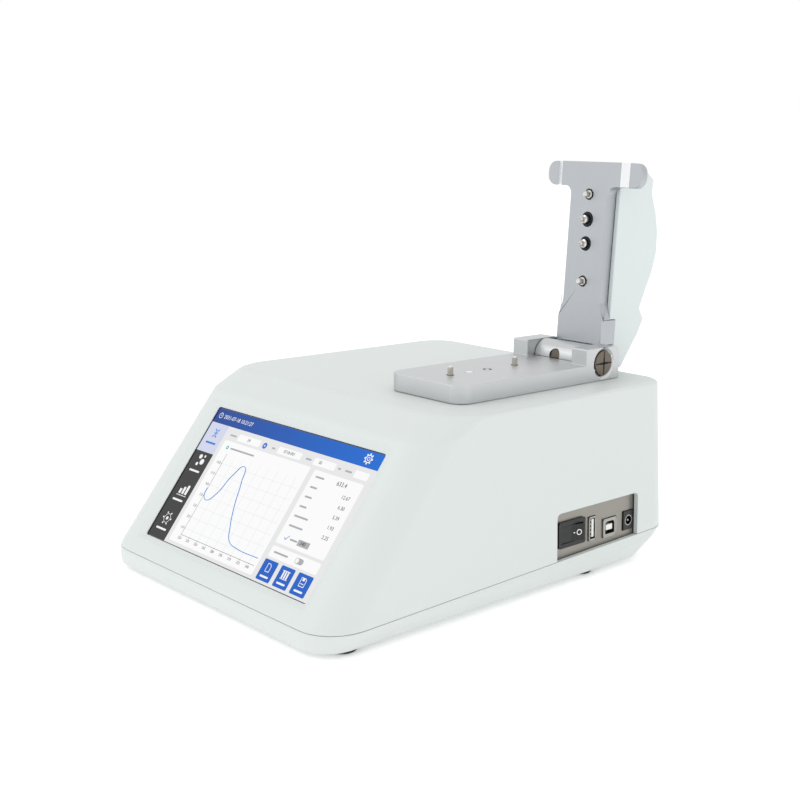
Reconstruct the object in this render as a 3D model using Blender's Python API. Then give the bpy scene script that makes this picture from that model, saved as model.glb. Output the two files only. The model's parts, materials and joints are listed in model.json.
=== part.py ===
"""Benchtop micro-volume spectrophotometer, at rest with its sample arm standing open.

Sizes are in millimetres; node() writes metres. X runs across the instrument, Y from the
display to the back, Z up from the table. The case is a stack of rounded plan sections
that a sloping seam splits into an upper housing and a base tray. The arm's pieces are
drawn in the arm's own frame: Y behind the hinge axis, Z up along the arm.
"""

import math

import bmesh
import bpy
from mathutils import Matrix, Vector

for old in list(bpy.data.objects):
    bpy.data.objects.remove(old, do_unlink=True)

# Display window and the face around it. The 7 inch panel sets the instrument's scale.
SCREEN_WIDTH = 157.1
SCREEN_HEIGHT = 88.8
FACE_SIDE = 30.5  # from the window to the case side, at the seam
FACE_BELOW = 13.9
FACE_ABOVE = 9.0
FACE_SLOPE = math.radians(52.35)
WINDOW_BEVEL_SIDE = 5.0
WINDOW_BEVEL_END = 3.6
WINDOW_LIP = 0.5
GLASS_SEAT = 0.3  # how far the flat seat for the glass goes into the wall
GLASS_LAP = 4.0
GLASS_THICK = 1.8
MODULE_THICK = 5.2

# Case.
WALL = 3.0
FOOT_HEIGHT = 3.0
FOOT_DIAMETER = 15.0
CHIN_Y = -180.0
CHIN_Z = 6.7
KNEE_Z = 13.2
BAND_RUN = 20.6
BAND_RISE = 10.8
TOP_DEPTH = 182.7
SIDE_DRAFT = math.radians(2.24)
REAR_DRAFT = math.radians(3.1)
SEAM_Z = 17.8
SEAM_SLOPE = 0.026
SIDE_CREASE_Z = 13.2
SIDE_INSET = 4.6
FRONT_INSET = 0.4
REAR_CREASE_Z = 19.2
REAR_INSET = 22.0
FRONT_RADIUS = 23.2
REAR_RADIUS = 18.8
TOP_RADIUS = 2.0
KNEE_RADIUS = 9.0
CREASE_RADIUS = 10.0
BAND_RADIUS = 13.0
GAP = 0.3
POST_WIDTH = 12.0
SCREW_SHANK = 3.0
SCREW_HEAD = 6.0
RIB_TOP = 12.9
RIB_THICK = 3.0

# Arm base plate on the case top, and the hinge between its ears.
PLATE_SIDE = 24.5  # from the case side, at the top, to the plate
PLATE_REAR = 20.6
PLATE_WIDTH = 61.2
PLATE_LENGTH = 136.0
PLATE_THICK = 10.3
PLATE_RADIUS = 9.5
EAR_HEIGHT = 9.9
EAR_LENGTH = 30.8
EAR_GAP = 36.9
EAR_RADIUS = 6.0
SLOT_LENGTH = 25.0
HINGE_INSET = 14.45
BARREL_RADIUS = 9.6
SHAFT_DIAMETER = 8.0
CAP_DIAMETER = 15.4
CAP_THICK = 2.6

# Sample arm.
LEAN = math.radians(3.21)
ARM_OFFSET = 9.6  # the arm's face behind the hinge axis, so also its height when closed
ARM_THICK = 8.1
COLUMN_WIDTH = 29.8
HEAD_WIDTH = 75.4
HEAD_HEIGHT = 14.7
FLAT_WIDTH = 45.8  # the head's front, level with the column, before it steps back
WING_INNER = 28.9
WING_STEP = 3.3
HEAD_RADIUS = 6.0
HEAD_BASE = 104.8
BLOCK_WIDTH = 36.2
BLOCK_THICK = 13.4
BLOCK_BASE = 9.0
BLOCK_TOP = 24.4
WEB_LENGTH = 23.3
COVER_WIDTH = 35.4
COVER_WALL = 2.0
COVER_TOP = 116.2

# Distances from the hinge axis, the same along the plate and along the arm.
FRONT_PIN = 100.0
REFERENCE = 84.9
SAMPLE = 70.1
REAR_PIN = 47.0
PIN_DIAMETER = 3.3
PIN_HEIGHT = 4.8
STOP_DIAMETER = 3.6
STOP_HEIGHT = ARM_OFFSET - PIN_HEIGHT - GAP
DISC_DIAMETER = 4.4
PEDESTAL_DIAMETER = 2.8
SLEEVE_DIAMETER = 4.6
TIP_FRONT_DIAMETER = 5.1
TIP_FRONT_REACH = 6.7
BUSH_FRONT_DIAMETER = 8.3
TIP_REAR_DIAMETER = 5.3
TIP_REAR_REACH = 5.5
BUSH_REAR_DIAMETER = 7.9
BUSH_LENGTH = 14.0
NOSE_DIAMETER = 3.2  # the thin nose that a plunger carries ahead of its shank
SLIDE_CLEAR = 0.3
PLUNGER_TRAVEL = 2.0
PEDESTAL_TRAVEL = 3.6

# Port recess in the right side, and what its steel panel carries: centre along Y from
# the recess's front end, centre above the seam, then length along Y and height.
PORT_LENGTH = 73.8
PORT_HEIGHT = 28.4
PORT_REAR = 29.4
PORT_SINK = 3.5
PANEL_THICK = 1.0
ROCKER = (15.2, 14.0, 23.5, 15.7)
USB_A = (34.2, 12.8, 6.2, 14.7)
USB_B = (50.4, 10.4, 12.3, 11.6)
DC = (68.1, 11.3, 9.2, 12.0)
ROCKER_TILT = math.radians(10.0)

# Places that follow from the sizes above.
FACE_LENGTH = FACE_BELOW + SCREEN_HEIGHT + FACE_ABOVE
CREST_Y = CHIN_Y + FACE_LENGTH * math.cos(FACE_SLOPE)
CREST_Z = KNEE_Z + FACE_LENGTH * math.sin(FACE_SLOPE)
BAND_Y = CREST_Y + BAND_RUN
TOP_Z = CREST_Z + BAND_RISE
REAR_Y = BAND_Y + TOP_DEPTH
HALF_SEAM = SCREEN_WIDTH / 2 + FACE_SIDE
HALF_TOP = HALF_SEAM - (TOP_Z - SEAM_Z) * math.tan(SIDE_DRAFT)
REAR_FOOT_Y = REAR_Y + (TOP_Z - REAR_CREASE_Z) * math.tan(REAR_DRAFT)
HALF_CREASE = HALF_TOP + (TOP_Z - SIDE_CREASE_Z) * math.tan(SIDE_DRAFT)
PLATE_X = HALF_TOP - PLATE_SIDE - PLATE_WIDTH / 2
PLATE_BACK = REAR_Y - PLATE_REAR
PLATE_FRONT = PLATE_BACK - PLATE_LENGTH
PLATE_BASE = TOP_Z + GAP
PLATE_TOP = PLATE_BASE + PLATE_THICK
HINGE_Y = PLATE_BACK - HINGE_INSET
HINGE_Z = PLATE_TOP
PORT_Y = REAR_Y - PORT_REAR - PORT_LENGTH
MIDDLE_Y = (CHIN_Y + REAR_FOOT_Y) / 2

# The arm cover's back: how far behind the arm's face it stands at each height.
COVER_BACK = (
    (26.3, -5.8),
    (31.8, 2.4),
    (40.3, 14.8),
    (44.9, 24.2),
    (40.0, 31.2),
    (44.8, 43.2),
    (49.9, 54.7),
    (52.5, 66.2),
    (51.9, 78.7),
    (48.9, 90.0),
    (43.3, 102.0),
    (42.9, 111.1),
    (37.6, COVER_TOP),
)
COVER_REACH = max(
    (ARM_OFFSET + depth) * math.cos(LEAN) + height * math.sin(LEAN) for depth, height in COVER_BACK
)
ORIGIN_Y = -(CHIN_Y + HINGE_Y + COVER_REACH) / 2


def material(name, colour, metallic, roughness):
    made = bpy.data.materials.new(name)
    made.use_nodes = True
    shader = made.node_tree.nodes["Principled BSDF"]
    shader.inputs["Base Color"].default_value = (*colour, 1.0)
    shader.inputs["Metallic"].default_value = metallic
    shader.inputs["Roughness"].default_value = roughness
    made.diffuse_color = (*colour, 1.0)
    return made


CASE_PLASTIC = material("case plastic", (0.66, 0.70, 0.69), 0.0, 0.42)
COVER_PLASTIC = material("cover plastic", (0.62, 0.66, 0.68), 0.0, 0.45)
ALUMINIUM = material("blasted aluminium", (0.58, 0.61, 0.63), 1.0, 0.38)
STEEL = material("steel", (0.55, 0.55, 0.55), 1.0, 0.25)
PANEL_STEEL = material("panel steel", (0.38, 0.36, 0.34), 1.0, 0.4)
DARK_STEEL = material("dark steel", (0.08, 0.08, 0.09), 1.0, 0.35)
BLACK_PLASTIC = material("black plastic", (0.02, 0.02, 0.02), 0.0, 0.4)
WHITE_PLASTIC = material("white plastic", (0.8, 0.8, 0.78), 0.0, 0.4)
RUBBER = material("rubber", (0.02, 0.02, 0.02), 0.0, 0.8)
GLASS = material("display glass", (0.03, 0.04, 0.06), 0.0, 0.05)
BOARD = material("circuit board", (0.02, 0.16, 0.07), 0.0, 0.5)
FIBRE = material("fibre jacket", (0.9, 0.45, 0.05), 0.0, 0.5)
QUARTZ = material("quartz", (0.75, 0.78, 0.8), 0.0, 0.1)


def frame(name, place, turn=(0.0, 0.0, 0.0), parent=None):
    empty = bpy.data.objects.new(name, None)
    empty.location = Vector(place) * 0.001
    empty.rotation_euler = turn
    empty.parent = parent
    empty.empty_display_size = 0.01
    bpy.context.scene.collection.objects.link(empty)
    return empty


def node(name, mesh, look, parent, smooth=False):
    bmesh.ops.recalc_face_normals(mesh, faces=mesh.faces)
    bmesh.ops.scale(mesh, vec=(0.001, 0.001, 0.001), verts=mesh.verts)
    data = bpy.data.meshes.new(name)
    mesh.to_mesh(data)
    mesh.free()
    if smooth:
        data.shade_smooth()
        data.set_sharp_from_angle(angle=math.radians(35))
    data.materials.append(look)
    made = bpy.data.objects.new(name, data)
    made.parent = parent
    bpy.context.scene.collection.objects.link(made)
    return made


def hidden(name, mesh, parent):
    made = node(name, mesh, CASE_PLASTIC, parent)
    made.hide_render = True
    made.display_type = "WIRE"
    return made


def boolean(target, other, operation="DIFFERENCE"):
    step = target.modifiers.new(other.name, "BOOLEAN")
    step.operation = operation
    step.solver = "EXACT"
    step.object = other


def corner_arc(before, corner, after, radius, steps):
    """Points of the arc that rounds one corner of an outline, from its first side to its second."""
    back = (Vector(before) - Vector(corner)).normalized()
    on = (Vector(after) - Vector(corner)).normalized()
    half = back.angle(on) / 2
    reach = radius / math.tan(half)
    centre = Vector(corner) + (back + on).normalized() * (radius / math.sin(half))
    first = Vector(corner) + back * reach - centre
    last = Vector(corner) + on * reach - centre
    sweep = first.angle_signed(last)
    points = []
    for i in range(steps + 1):
        turned = Matrix.Rotation(-sweep * i / steps, 2) @ first
        points.append(tuple(centre + turned))
    return points


def rounded(corners, steps=4, closed=True):
    """An outline from corners (x, y, radius); an open one keeps its two ends as they are."""
    points = []
    count = len(corners)
    for i, (x, y, radius) in enumerate(corners):
        end = not closed and i in (0, count - 1)
        if radius == 0 or end:
            points.append((x, y))
            continue
        before = corners[i - 1][:2]
        after = corners[(i + 1) % count][:2]
        points += corner_arc(before, (x, y), after, radius, steps)
    return points


def box_outline(x0, x1, y0, y1, radius=0.0, steps=3):
    corners = [(x0, y0, radius), (x1, y0, radius), (x1, y1, radius), (x0, y1, radius)]
    return rounded(corners, steps)


def loft(rings):
    """A closed mesh through rings of (x, y, z) points that all have the same count."""
    mesh = bmesh.new()
    loops = [[mesh.verts.new(point) for point in ring] for ring in rings]
    count = len(loops[0])
    for low, high in zip(loops, loops[1:]):
        for i in range(count):
            j = (i + 1) % count
            mesh.faces.new((low[i], low[j], high[j], high[i]))
    mesh.faces.new(list(reversed(loops[0])))
    mesh.faces.new(loops[-1])
    return mesh


PLACE = {
    "X": lambda a, b, depth: (depth, a, b),
    "Y": lambda a, b, depth: (a, depth, b),
    "Z": lambda a, b, depth: (a, b, depth),
}


def prism(outline, low, high, along="Z"):
    """An outline swept along one axis; it is drawn on the other two, in X, Y, Z order."""
    place = PLACE[along]
    return loft([[place(a, b, depth) for a, b in outline] for depth in (low, high)])


def box(x0, x1, y0, y1, z0, z1):
    return prism(box_outline(x0, x1, y0, y1), z0, z1)


def turned(profile, centre, along="Z", steps=24):
    """A solid of rounds (position along the axis, diameter), about a centre on the other two axes."""
    place = PLACE[along]
    rings = []
    for depth, diameter in profile:
        ring = []
        for i in range(steps):
            angle = 2 * math.pi * i / steps
            a = centre[0] + diameter / 2 * math.cos(angle)
            b = centre[1] + diameter / 2 * math.sin(angle)
            ring.append(place(a, b, depth))
        rings.append(ring)
    return loft(rings)


def cylinder(centre, diameter, low, high, along="Z", steps=24):
    return turned([(low, diameter), (high, diameter)], centre, along, steps)


def offset(corners, inset):
    """An open outline moved to its right by inset, with mitred corners and their radii less inset."""
    sides = []
    for (x0, y0, _), (x1, y1, _) in zip(corners, corners[1:]):
        along = Vector((x1 - x0, y1 - y0)).normalized()
        right = Vector((along.y, -along.x))
        sides.append((Vector((x0, y0)) + right * inset, along))
    moved = []
    for i, (x, y, radius) in enumerate(corners):
        if i == 0 or i == len(corners) - 1:
            start, along = sides[min(i, len(sides) - 1)]
            point = start + along * (Vector((x, y)) - start).dot(along)
        else:
            (first, along), (second, on) = sides[i - 1], sides[i]
            turn = along.x * on.y - along.y * on.x
            reach = ((second.x - first.x) * on.y - (second.y - first.y) * on.x) / turn
            point = first + along * reach
        moved.append((point.x, point.y, max(radius - inset, 0.4)))
    return moved


# Half sections of the case, each from the middle of its floor to the middle of its top.
FRONT_LINE = (
    (MIDDLE_Y, FOOT_HEIGHT, 0),
    (CHIN_Y + FRONT_INSET, FOOT_HEIGHT, 0.9),
    (CHIN_Y, CHIN_Z, 2.5),
    (CHIN_Y, KNEE_Z, KNEE_RADIUS),
    (CREST_Y, CREST_Z, CREASE_RADIUS),
    (BAND_Y, TOP_Z, BAND_RADIUS),
    (MIDDLE_Y, TOP_Z, 0),
)
REAR_LINE = (
    (-MIDDLE_Y, FOOT_HEIGHT, 0),
    (-REAR_FOOT_Y + REAR_INSET, FOOT_HEIGHT, 0.9),
    (-REAR_FOOT_Y, REAR_CREASE_Z, 2.0),
    (-REAR_Y, TOP_Z, TOP_RADIUS),
    (-MIDDLE_Y, TOP_Z, 0),
)
SIDE_LINE = (
    (0, FOOT_HEIGHT, 0),
    (-HALF_CREASE + SIDE_INSET, FOOT_HEIGHT, 0.9),
    (-HALF_CREASE, SIDE_CREASE_Z, 2.0),
    (-HALF_TOP, TOP_Z, TOP_RADIUS),
    (0, TOP_Z, 0),
)


def reading(line, inset):
    """The rising part of a half section, as (height, place) from its floor to its top."""
    points = rounded(offset(line, inset), 3, closed=False)[1:-1]
    return [(height, place) for place, height in points]


def place_at(rising, height):
    for (low, first), (high, last) in zip(rising, rising[1:]):
        if height <= high:
            share = max(height - low, 0.0) / max(high - low, 1e-6)
            return first + (last - first) * share
    return rising[-1][1]


def case_mesh(inset):
    """The case at an inset from its outer skin: rounded plan sections, one per height."""
    front = reading(FRONT_LINE, inset)
    rear = reading(REAR_LINE, inset)
    side = reading(SIDE_LINE, inset)
    wanted = sorted(height for line in (front, rear, side) for height, _ in line)
    floor = FOOT_HEIGHT + inset
    heights = [floor]
    for height in wanted:
        if height > heights[-1] + 0.35:
            heights.append(height)
    heights[-1] = TOP_Z - inset
    rings = []
    for height in heights:
        half = -place_at(side, height)
        upright = HALF_TOP - inset + (TOP_Z - height) * math.tan(SIDE_DRAFT)
        less = inset + max(upright - half, 0.0)
        near = max(FRONT_RADIUS - less, 6.0)
        far = max(REAR_RADIUS - less, 6.0)
        y0 = place_at(front, height)
        y1 = -place_at(rear, height)
        corners = ((-half, y0, near), (half, y0, near), (half, y1, far), (-half, y1, far))
        outline = rounded(corners, 6)
        rings.append([(x, y, height) for x, y in outline])
    return loft(rings)


def case_half(inset, upper):
    """The part of the case above or below the sloping seam, less half of the seam's gap."""
    mesh = case_mesh(inset)
    shift = GAP / 2 if upper else -GAP / 2
    cut = bmesh.ops.bisect_plane(
        mesh,
        geom=mesh.verts[:] + mesh.edges[:] + mesh.faces[:],
        plane_co=(0, 0, SEAM_Z + shift),
        plane_no=(0, -SEAM_SLOPE, 1),
        clear_inner=upper,
        clear_outer=not upper,
    )
    edges = [item for item in cut["geom_cut"] if isinstance(item, bmesh.types.BMEdge)]
    bmesh.ops.holes_fill(mesh, edges=edges, sides=0)
    return mesh


instrument = frame("instrument", (0, ORIGIN_Y, 0))

# Case: the hollow is one cutter for both halves, less the screw posts and the floor's ribs.
POST_FRONT = (HALF_SEAM - 13.4, CHIN_Y + 39.3)
POST_REAR = (HALF_SEAM - 31.4, REAR_FOOT_Y - 25.0)
hollow = hidden("hollow", case_mesh(WALL), instrument)
screw_places = []
for side in (-1, 1):
    x, y = POST_FRONT
    reach = HALF_SEAM + 5
    edges = sorted((side * (x - POST_WIDTH / 2), side * reach))
    post = box_outline(*edges, y - POST_WIDTH / 2, y + POST_WIDTH / 2, 3.0)
    boolean(hollow, hidden(f"post_front_{side}", prism(post, 0, TOP_Z), instrument))
    screw_places.append((side * x, y))
    x, y = POST_REAR
    x0 = side * x - POST_WIDTH / 2
    post = box_outline(x0, x0 + POST_WIDTH, y - POST_WIDTH / 2, REAR_FOOT_Y + 5, 3.0)
    boolean(hollow, hidden(f"post_rear_{side}", prism(post, 0, TOP_Z + 5), instrument))
    screw_places.append((side * x, y))

BOARD_Y = (CHIN_Y + 79.3, CHIN_Y + 109.3, HINGE_Y - 84.2, HINGE_Y - 39.2, HINGE_Y + 0.8)
for i, y in enumerate(BOARD_Y):
    rib = box(-HALF_SEAM, HALF_SEAM, y - RIB_THICK / 2, y + RIB_THICK / 2, 0, RIB_TOP)
    boolean(hollow, hidden(f"rib_{i}", rib, instrument))

housing = node("upper_housing", case_half(0, True), CASE_PLASTIC, instrument, True)
boolean(housing, hollow)
tray = node("base_tray", case_half(0, False), CASE_PLASTIC, instrument, True)
boolean(tray, hollow)

screw_y_seam = {}
for i, (x, y) in enumerate(screw_places):
    head_top = FOOT_HEIGHT + 3.6
    seam = SEAM_Z + SEAM_SLOPE * y
    tip = seam + 10.0
    profile = [(FOOT_HEIGHT + 0.8, SCREW_HEAD), (head_top - GAP, SCREW_HEAD)]
    profile += [(head_top - GAP, SCREW_SHANK), (tip, SCREW_SHANK)]
    screw = node(f"base_screw_{i + 1}", turned(profile, (x, y), steps=16), STEEL, instrument, True)
    wide = SCREW_HEAD + 2 * GAP
    narrow = SCREW_SHANK + 2 * GAP
    clear = [(0, wide), (head_top, wide), (head_top, narrow), (tip + 1.0, narrow)]
    way = hidden(f"screw_way_{i + 1}", turned(clear, (x, y), steps=16), instrument)
    boolean(tray, way)
    boolean(housing, way)

FOOT_X = HALF_SEAM - 15.2
for name, x, y in (
    ("foot_front_left", -FOOT_X, CHIN_Y + 22.0),
    ("foot_front_right", FOOT_X, CHIN_Y + 22.0),
    ("foot_rear_left", -FOOT_X, REAR_FOOT_Y - 71.0),
    ("foot_rear_right", FOOT_X, REAR_FOOT_Y - 71.0),
):
    profile = [(0, FOOT_DIAMETER - 1.2), (0.6, FOOT_DIAMETER)]
    profile += [(FOOT_HEIGHT - GAP, FOOT_DIAMETER)]
    node(name, turned(profile, (x, y)), RUBBER, instrument, True)

# Display: a bevelled window in the sloping face, glass behind its lip, the panel and its bracket.
face = frame("face", (0, CHIN_Y, KNEE_Z), (FACE_SLOPE, 0, 0), instrument)
HALF_W = SCREEN_WIDTH / 2
WINDOW_LOW = FACE_BELOW
WINDOW_HIGH = FACE_BELOW + SCREEN_HEIGHT
window_rings = []
bevel_depth = WALL - GLASS_SEAT - WINDOW_LIP
for depth in (1.0, -bevel_depth, -WALL - 6.0):
    share = max((depth + bevel_depth) / bevel_depth, 0.0)
    side = WINDOW_BEVEL_SIDE * share
    end = WINDOW_BEVEL_END * share
    outline = box_outline(
        -HALF_W - side, HALF_W + side, WINDOW_LOW - end, WINDOW_HIGH + end, 1.5 + share, 3
    )
    window_rings.append([(x, y, depth) for x, y in outline])
boolean(housing, hidden("window", loft(window_rings), face))

lap = GLASS_LAP
seat = -WALL + GLASS_SEAT
glass_front = seat - GAP
glass_back = glass_front - GLASS_THICK
inner = HALF_W + lap + 0.6
outer = inner + 1.5
seat_outline = box_outline(
    -outer - GAP, outer + GAP, WINDOW_LOW - lap - GAP, WINDOW_HIGH + lap + GAP, 2.3
)
boolean(housing, hidden("glass_seat", prism(seat_outline, seat - 12.0, seat), face))
glass_outline = box_outline(-HALF_W - lap, HALF_W + lap, WINDOW_LOW - lap, WINDOW_HIGH + lap, 2.0)
node("screen_glass", prism(glass_outline, glass_back, glass_front), GLASS, face)
module_back = glass_back - GAP - MODULE_THICK
module = box_outline(
    -HALF_W - lap + 1, HALF_W + lap - 1, WINDOW_LOW - lap + 1, WINDOW_HIGH + lap - 1, 1.0
)
node("display_module", prism(module, module_back, glass_back - GAP), DARK_STEEL, face)

back = module_back - GAP
channel = (
    (-outer, back - 1.5),
    (outer, back - 1.5),
    (outer, glass_front),
    (inner, glass_front),
    (inner, back),
    (-inner, back),
    (-inner, glass_front),
    (-outer, glass_front),
)
middle = (WINDOW_LOW + WINDOW_HIGH) / 2
bracket = prism(channel, middle - 30.0, middle + 26.0, "Y")
node("display_bracket", bracket, PANEL_STEEL, face)

# Boards and modules that stand on the floor's ribs.
FLOOR = RIB_TOP + GAP
board_front = BOARD_Y[0] - 8.0
board = box(-HALF_SEAM + 11.0, 15.0, board_front, BOARD_Y[2] + 10.0, FLOOR, FLOOR + 1.6)
main_board = node("main_board", board, BOARD, instrument)
for i, (x, y, w, d, h) in enumerate(
    ((-58.0, 30.0, 30.0, 30.0, 4.0), (-18.0, 42.0, 22.0, 14.0, 3.0), (-70.0, 68.0, 24.0, 12.0, 9.0))
):
    chip = box(x, x + w, board_front + y, board_front + y + d, FLOOR + 1.0, FLOOR + 1.6 + h)
    boolean(main_board, hidden(f"chip_{i}", chip, instrument), "UNION")

power_front = BOARD_Y[2] - 8.0
power = box(30.0, 76.0, power_front, BOARD_Y[3] + 7.0, FLOOR, FLOOR + 1.6)
power_board = node("power_board", power, BOARD, instrument)
coil = cylinder((44.0, power_front + 46.0), 16.0, FLOOR + 1.0, FLOOR + 18.0)
boolean(power_board, hidden("power_coil", coil, instrument), "UNION")

spec_y = (BOARD_Y[3] - 10.0, BOARD_Y[4] + 10.0)
SPEC_TOP = FLOOR + 42.0
SPEC_X = (-60.0, 18.0)
spectrometer = node(
    "spectrometer_module", box(*SPEC_X, *spec_y, FLOOR, SPEC_TOP), DARK_STEEL, instrument
)
lamp = box(28.0, 66.0, BOARD_Y[0] - 5.0, BOARD_Y[1] + 5.0, FLOOR, FLOOR + 28.0)
node("flash_lamp", lamp, DARK_STEEL, instrument)

# Arm base plate: one milled block with two ears, screwed down from inside the case.
plate_left = PLATE_X - PLATE_WIDTH / 2
plate_right = PLATE_X + PLATE_WIDTH / 2
plate_outline = rounded(
    (
        (plate_left, PLATE_FRONT, PLATE_RADIUS),
        (plate_right, PLATE_FRONT, PLATE_RADIUS),
        (plate_right, PLATE_BACK, 0),
        (plate_left, PLATE_BACK, 0),
    ),
    6,
)
plate_mesh = prism(plate_outline, PLATE_BASE, PLATE_TOP)
base_plate = node("arm_base_plate", plate_mesh, ALUMINIUM, instrument, True)
ear_outline = rounded(
    (
        (PLATE_BACK - EAR_LENGTH, PLATE_TOP - 2.0, 0),
        (PLATE_BACK, PLATE_TOP - 2.0, 0),
        (PLATE_BACK, PLATE_TOP + EAR_HEIGHT, EAR_RADIUS),
        (PLATE_BACK - EAR_LENGTH, PLATE_TOP + EAR_HEIGHT, 0.8),
    ),
    5,
)
ears = prism(ear_outline, plate_left, plate_right, "X")
boolean(base_plate, hidden("ears", ears, instrument), "UNION")
slot_half = EAR_GAP / 2
slot_front = PLATE_BACK - SLOT_LENGTH
slot = box(
    PLATE_X - slot_half, PLATE_X + slot_half, slot_front, PLATE_BACK + 5, 0, PLATE_TOP + 30
)
boolean(base_plate, hidden("barrel_slot", slot, instrument))
over = box(
    PLATE_X - slot_half,
    PLATE_X + slot_half,
    PLATE_BACK - EAR_LENGTH - 5,
    PLATE_BACK + 5,
    PLATE_TOP,
    PLATE_TOP + 30,
)
boolean(base_plate, hidden("ear_gap", over, instrument))

hinge_centre = (HINGE_Y, HINGE_Z)
shaft_way = SHAFT_DIAMETER + 2 * GAP
cap_way = CAP_DIAMETER + 2 * GAP
cap_seat = CAP_THICK + GAP
bore = turned(
    [
        (plate_left - 1, cap_way),
        (plate_left + cap_seat, cap_way),
        (plate_left + cap_seat, shaft_way),
        (plate_right - cap_seat, shaft_way),
        (plate_right - cap_seat, cap_way),
        (plate_right + 1, cap_way),
    ],
    hinge_centre,
    "X",
)
boolean(base_plate, hidden("hinge_bore", bore, instrument))
shaft = cylinder(
    hinge_centre, SHAFT_DIAMETER, plate_left + cap_seat + GAP, plate_right - cap_seat - GAP, "X"
)
node("hinge_shaft", shaft, STEEL, instrument, True)
for name, outer_x, inward in (
    ("pivot_cap_left", plate_left, 1),
    ("pivot_cap_right", plate_right, -1),
):
    inner_x = outer_x + inward * CAP_THICK
    rounds = [(outer_x, CAP_DIAMETER - 0.8), (outer_x + inward * 0.4, CAP_DIAMETER)]
    rounds.append((inner_x, CAP_DIAMETER))
    cap = node(name, turned(rounds, hinge_centre, "X"), ALUMINIUM, instrument, True)
    for wide, tall in ((7.0, 1.4), (1.4, 7.0)):
        edges = sorted((outer_x - inward * 1.0, outer_x + inward * 1.3))
        drive = box(
            *edges, HINGE_Y - wide / 2, HINGE_Y + wide / 2, HINGE_Z - tall / 2, HINGE_Z + tall / 2
        )
        boolean(cap, hidden(f"{name}_drive_{wide}", drive, instrument))

for i, (dx, y) in enumerate(
    (
        (-20.0, PLATE_FRONT + 16.0),
        (20.0, PLATE_FRONT + 16.0),
        (-24.0, PLATE_BACK - 40.0),
        (24.0, PLATE_BACK - 40.0),
    )
):
    place = (PLATE_X + dx, y)
    low = TOP_Z - WALL - GAP
    high = PLATE_BASE + 6.0
    profile = [(low - 3.0, 7.0), (low, 7.0), (low, 4.0), (high, 4.0)]
    node(f"plate_screw_{i + 1}", turned(profile, place, steps=16), STEEL, instrument, True)
    way = hidden(
        f"plate_way_{i + 1}",
        cylinder(place, 4.0 + 2 * GAP, low - 1.0, high + 1.0, steps=16),
        instrument,
    )
    boolean(housing, way)
    boolean(base_plate, way)

# On the plate: two locating pins, the reference disc and the sample pedestal in its sleeve.
PIN_WAY = PIN_DIAMETER + 4 * GAP
for name, distance in (("guide_pin_front", FRONT_PIN), ("guide_pin_rear", REAR_PIN)):
    place = (PLATE_X, HINGE_Y - distance)
    top = PLATE_TOP + PIN_HEIGHT
    profile = [(PLATE_TOP - 6.0, PIN_DIAMETER), (top - 0.5, PIN_DIAMETER)]
    profile.append((top, PIN_DIAMETER - 0.9))
    node(name, turned(profile, place, steps=16), STEEL, instrument, True)
    way = cylinder(place, PIN_WAY, PLATE_TOP - 6.3, PLATE_TOP + 5, steps=16)
    boolean(base_plate, hidden(f"{name}_way", way, instrument))

disc_place = (PLATE_X, HINGE_Y - REFERENCE)
disc = cylinder(disc_place, DISC_DIAMETER, PLATE_TOP - 1.5, PLATE_TOP, steps=20)
node("reference_disc", disc, QUARTZ, instrument, True)
disc_way = cylinder(disc_place, DISC_DIAMETER + 2 * GAP, PLATE_TOP - 1.8, PLATE_TOP + 5, steps=20)
boolean(base_plate, hidden("disc_way", disc_way, instrument))

sample_place = (PLATE_X, HINGE_Y - SAMPLE)
SLEEVE_FLANGE = 10.0
MOTOR_TOP = TOP_Z - WALL - 14.0
sleeve_low = MOTOR_TOP + GAP
step = PLATE_TOP - 3.0
profile = [(sleeve_low, SLEEVE_FLANGE), (step, SLEEVE_FLANGE)]
profile += [(step, SLEEVE_DIAMETER), (PLATE_TOP, SLEEVE_DIAMETER)]
sleeve = node("pedestal_sleeve", turned(profile, sample_place), DARK_STEEL, instrument, True)
clear = [(sleeve_low - 1, SLEEVE_FLANGE + 2 * GAP), (step + GAP, SLEEVE_FLANGE + 2 * GAP)]
clear += [(step + GAP, SLEEVE_DIAMETER + 2 * GAP), (PLATE_TOP + 5, SLEEVE_DIAMETER + 2 * GAP)]
sleeve_way = hidden("sleeve_way", turned(clear, sample_place), instrument)
boolean(base_plate, sleeve_way)
boolean(housing, sleeve_way)
MOTOR_LOW = MOTOR_TOP - 30.0
rod_low = MOTOR_TOP - 16.0
rod_way = cylinder(
    sample_place, PEDESTAL_DIAMETER + 2 * SLIDE_CLEAR, rod_low - 2.0, PLATE_TOP + 5, steps=20
)
rod_way = hidden("rod_way", rod_way, instrument)
boolean(sleeve, rod_way)
motor = node(
    "path_motor",
    prism(
        box_outline(
            PLATE_X - 14, PLATE_X + 14, HINGE_Y - SAMPLE - 14, HINGE_Y - SAMPLE + 14, 3.0
        ),
        MOTOR_LOW,
        MOTOR_TOP,
    ),
    DARK_STEEL,
    instrument,
)
boolean(motor, rod_way)
lift = frame("pedestal_slide", (PLATE_X, HINGE_Y - SAMPLE, PLATE_TOP), parent=instrument)
rod = cylinder((0, 0), PEDESTAL_DIAMETER, rod_low - PLATE_TOP, 0, steps=20)
node("lower_pedestal", rod, QUARTZ, lift, True)


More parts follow.
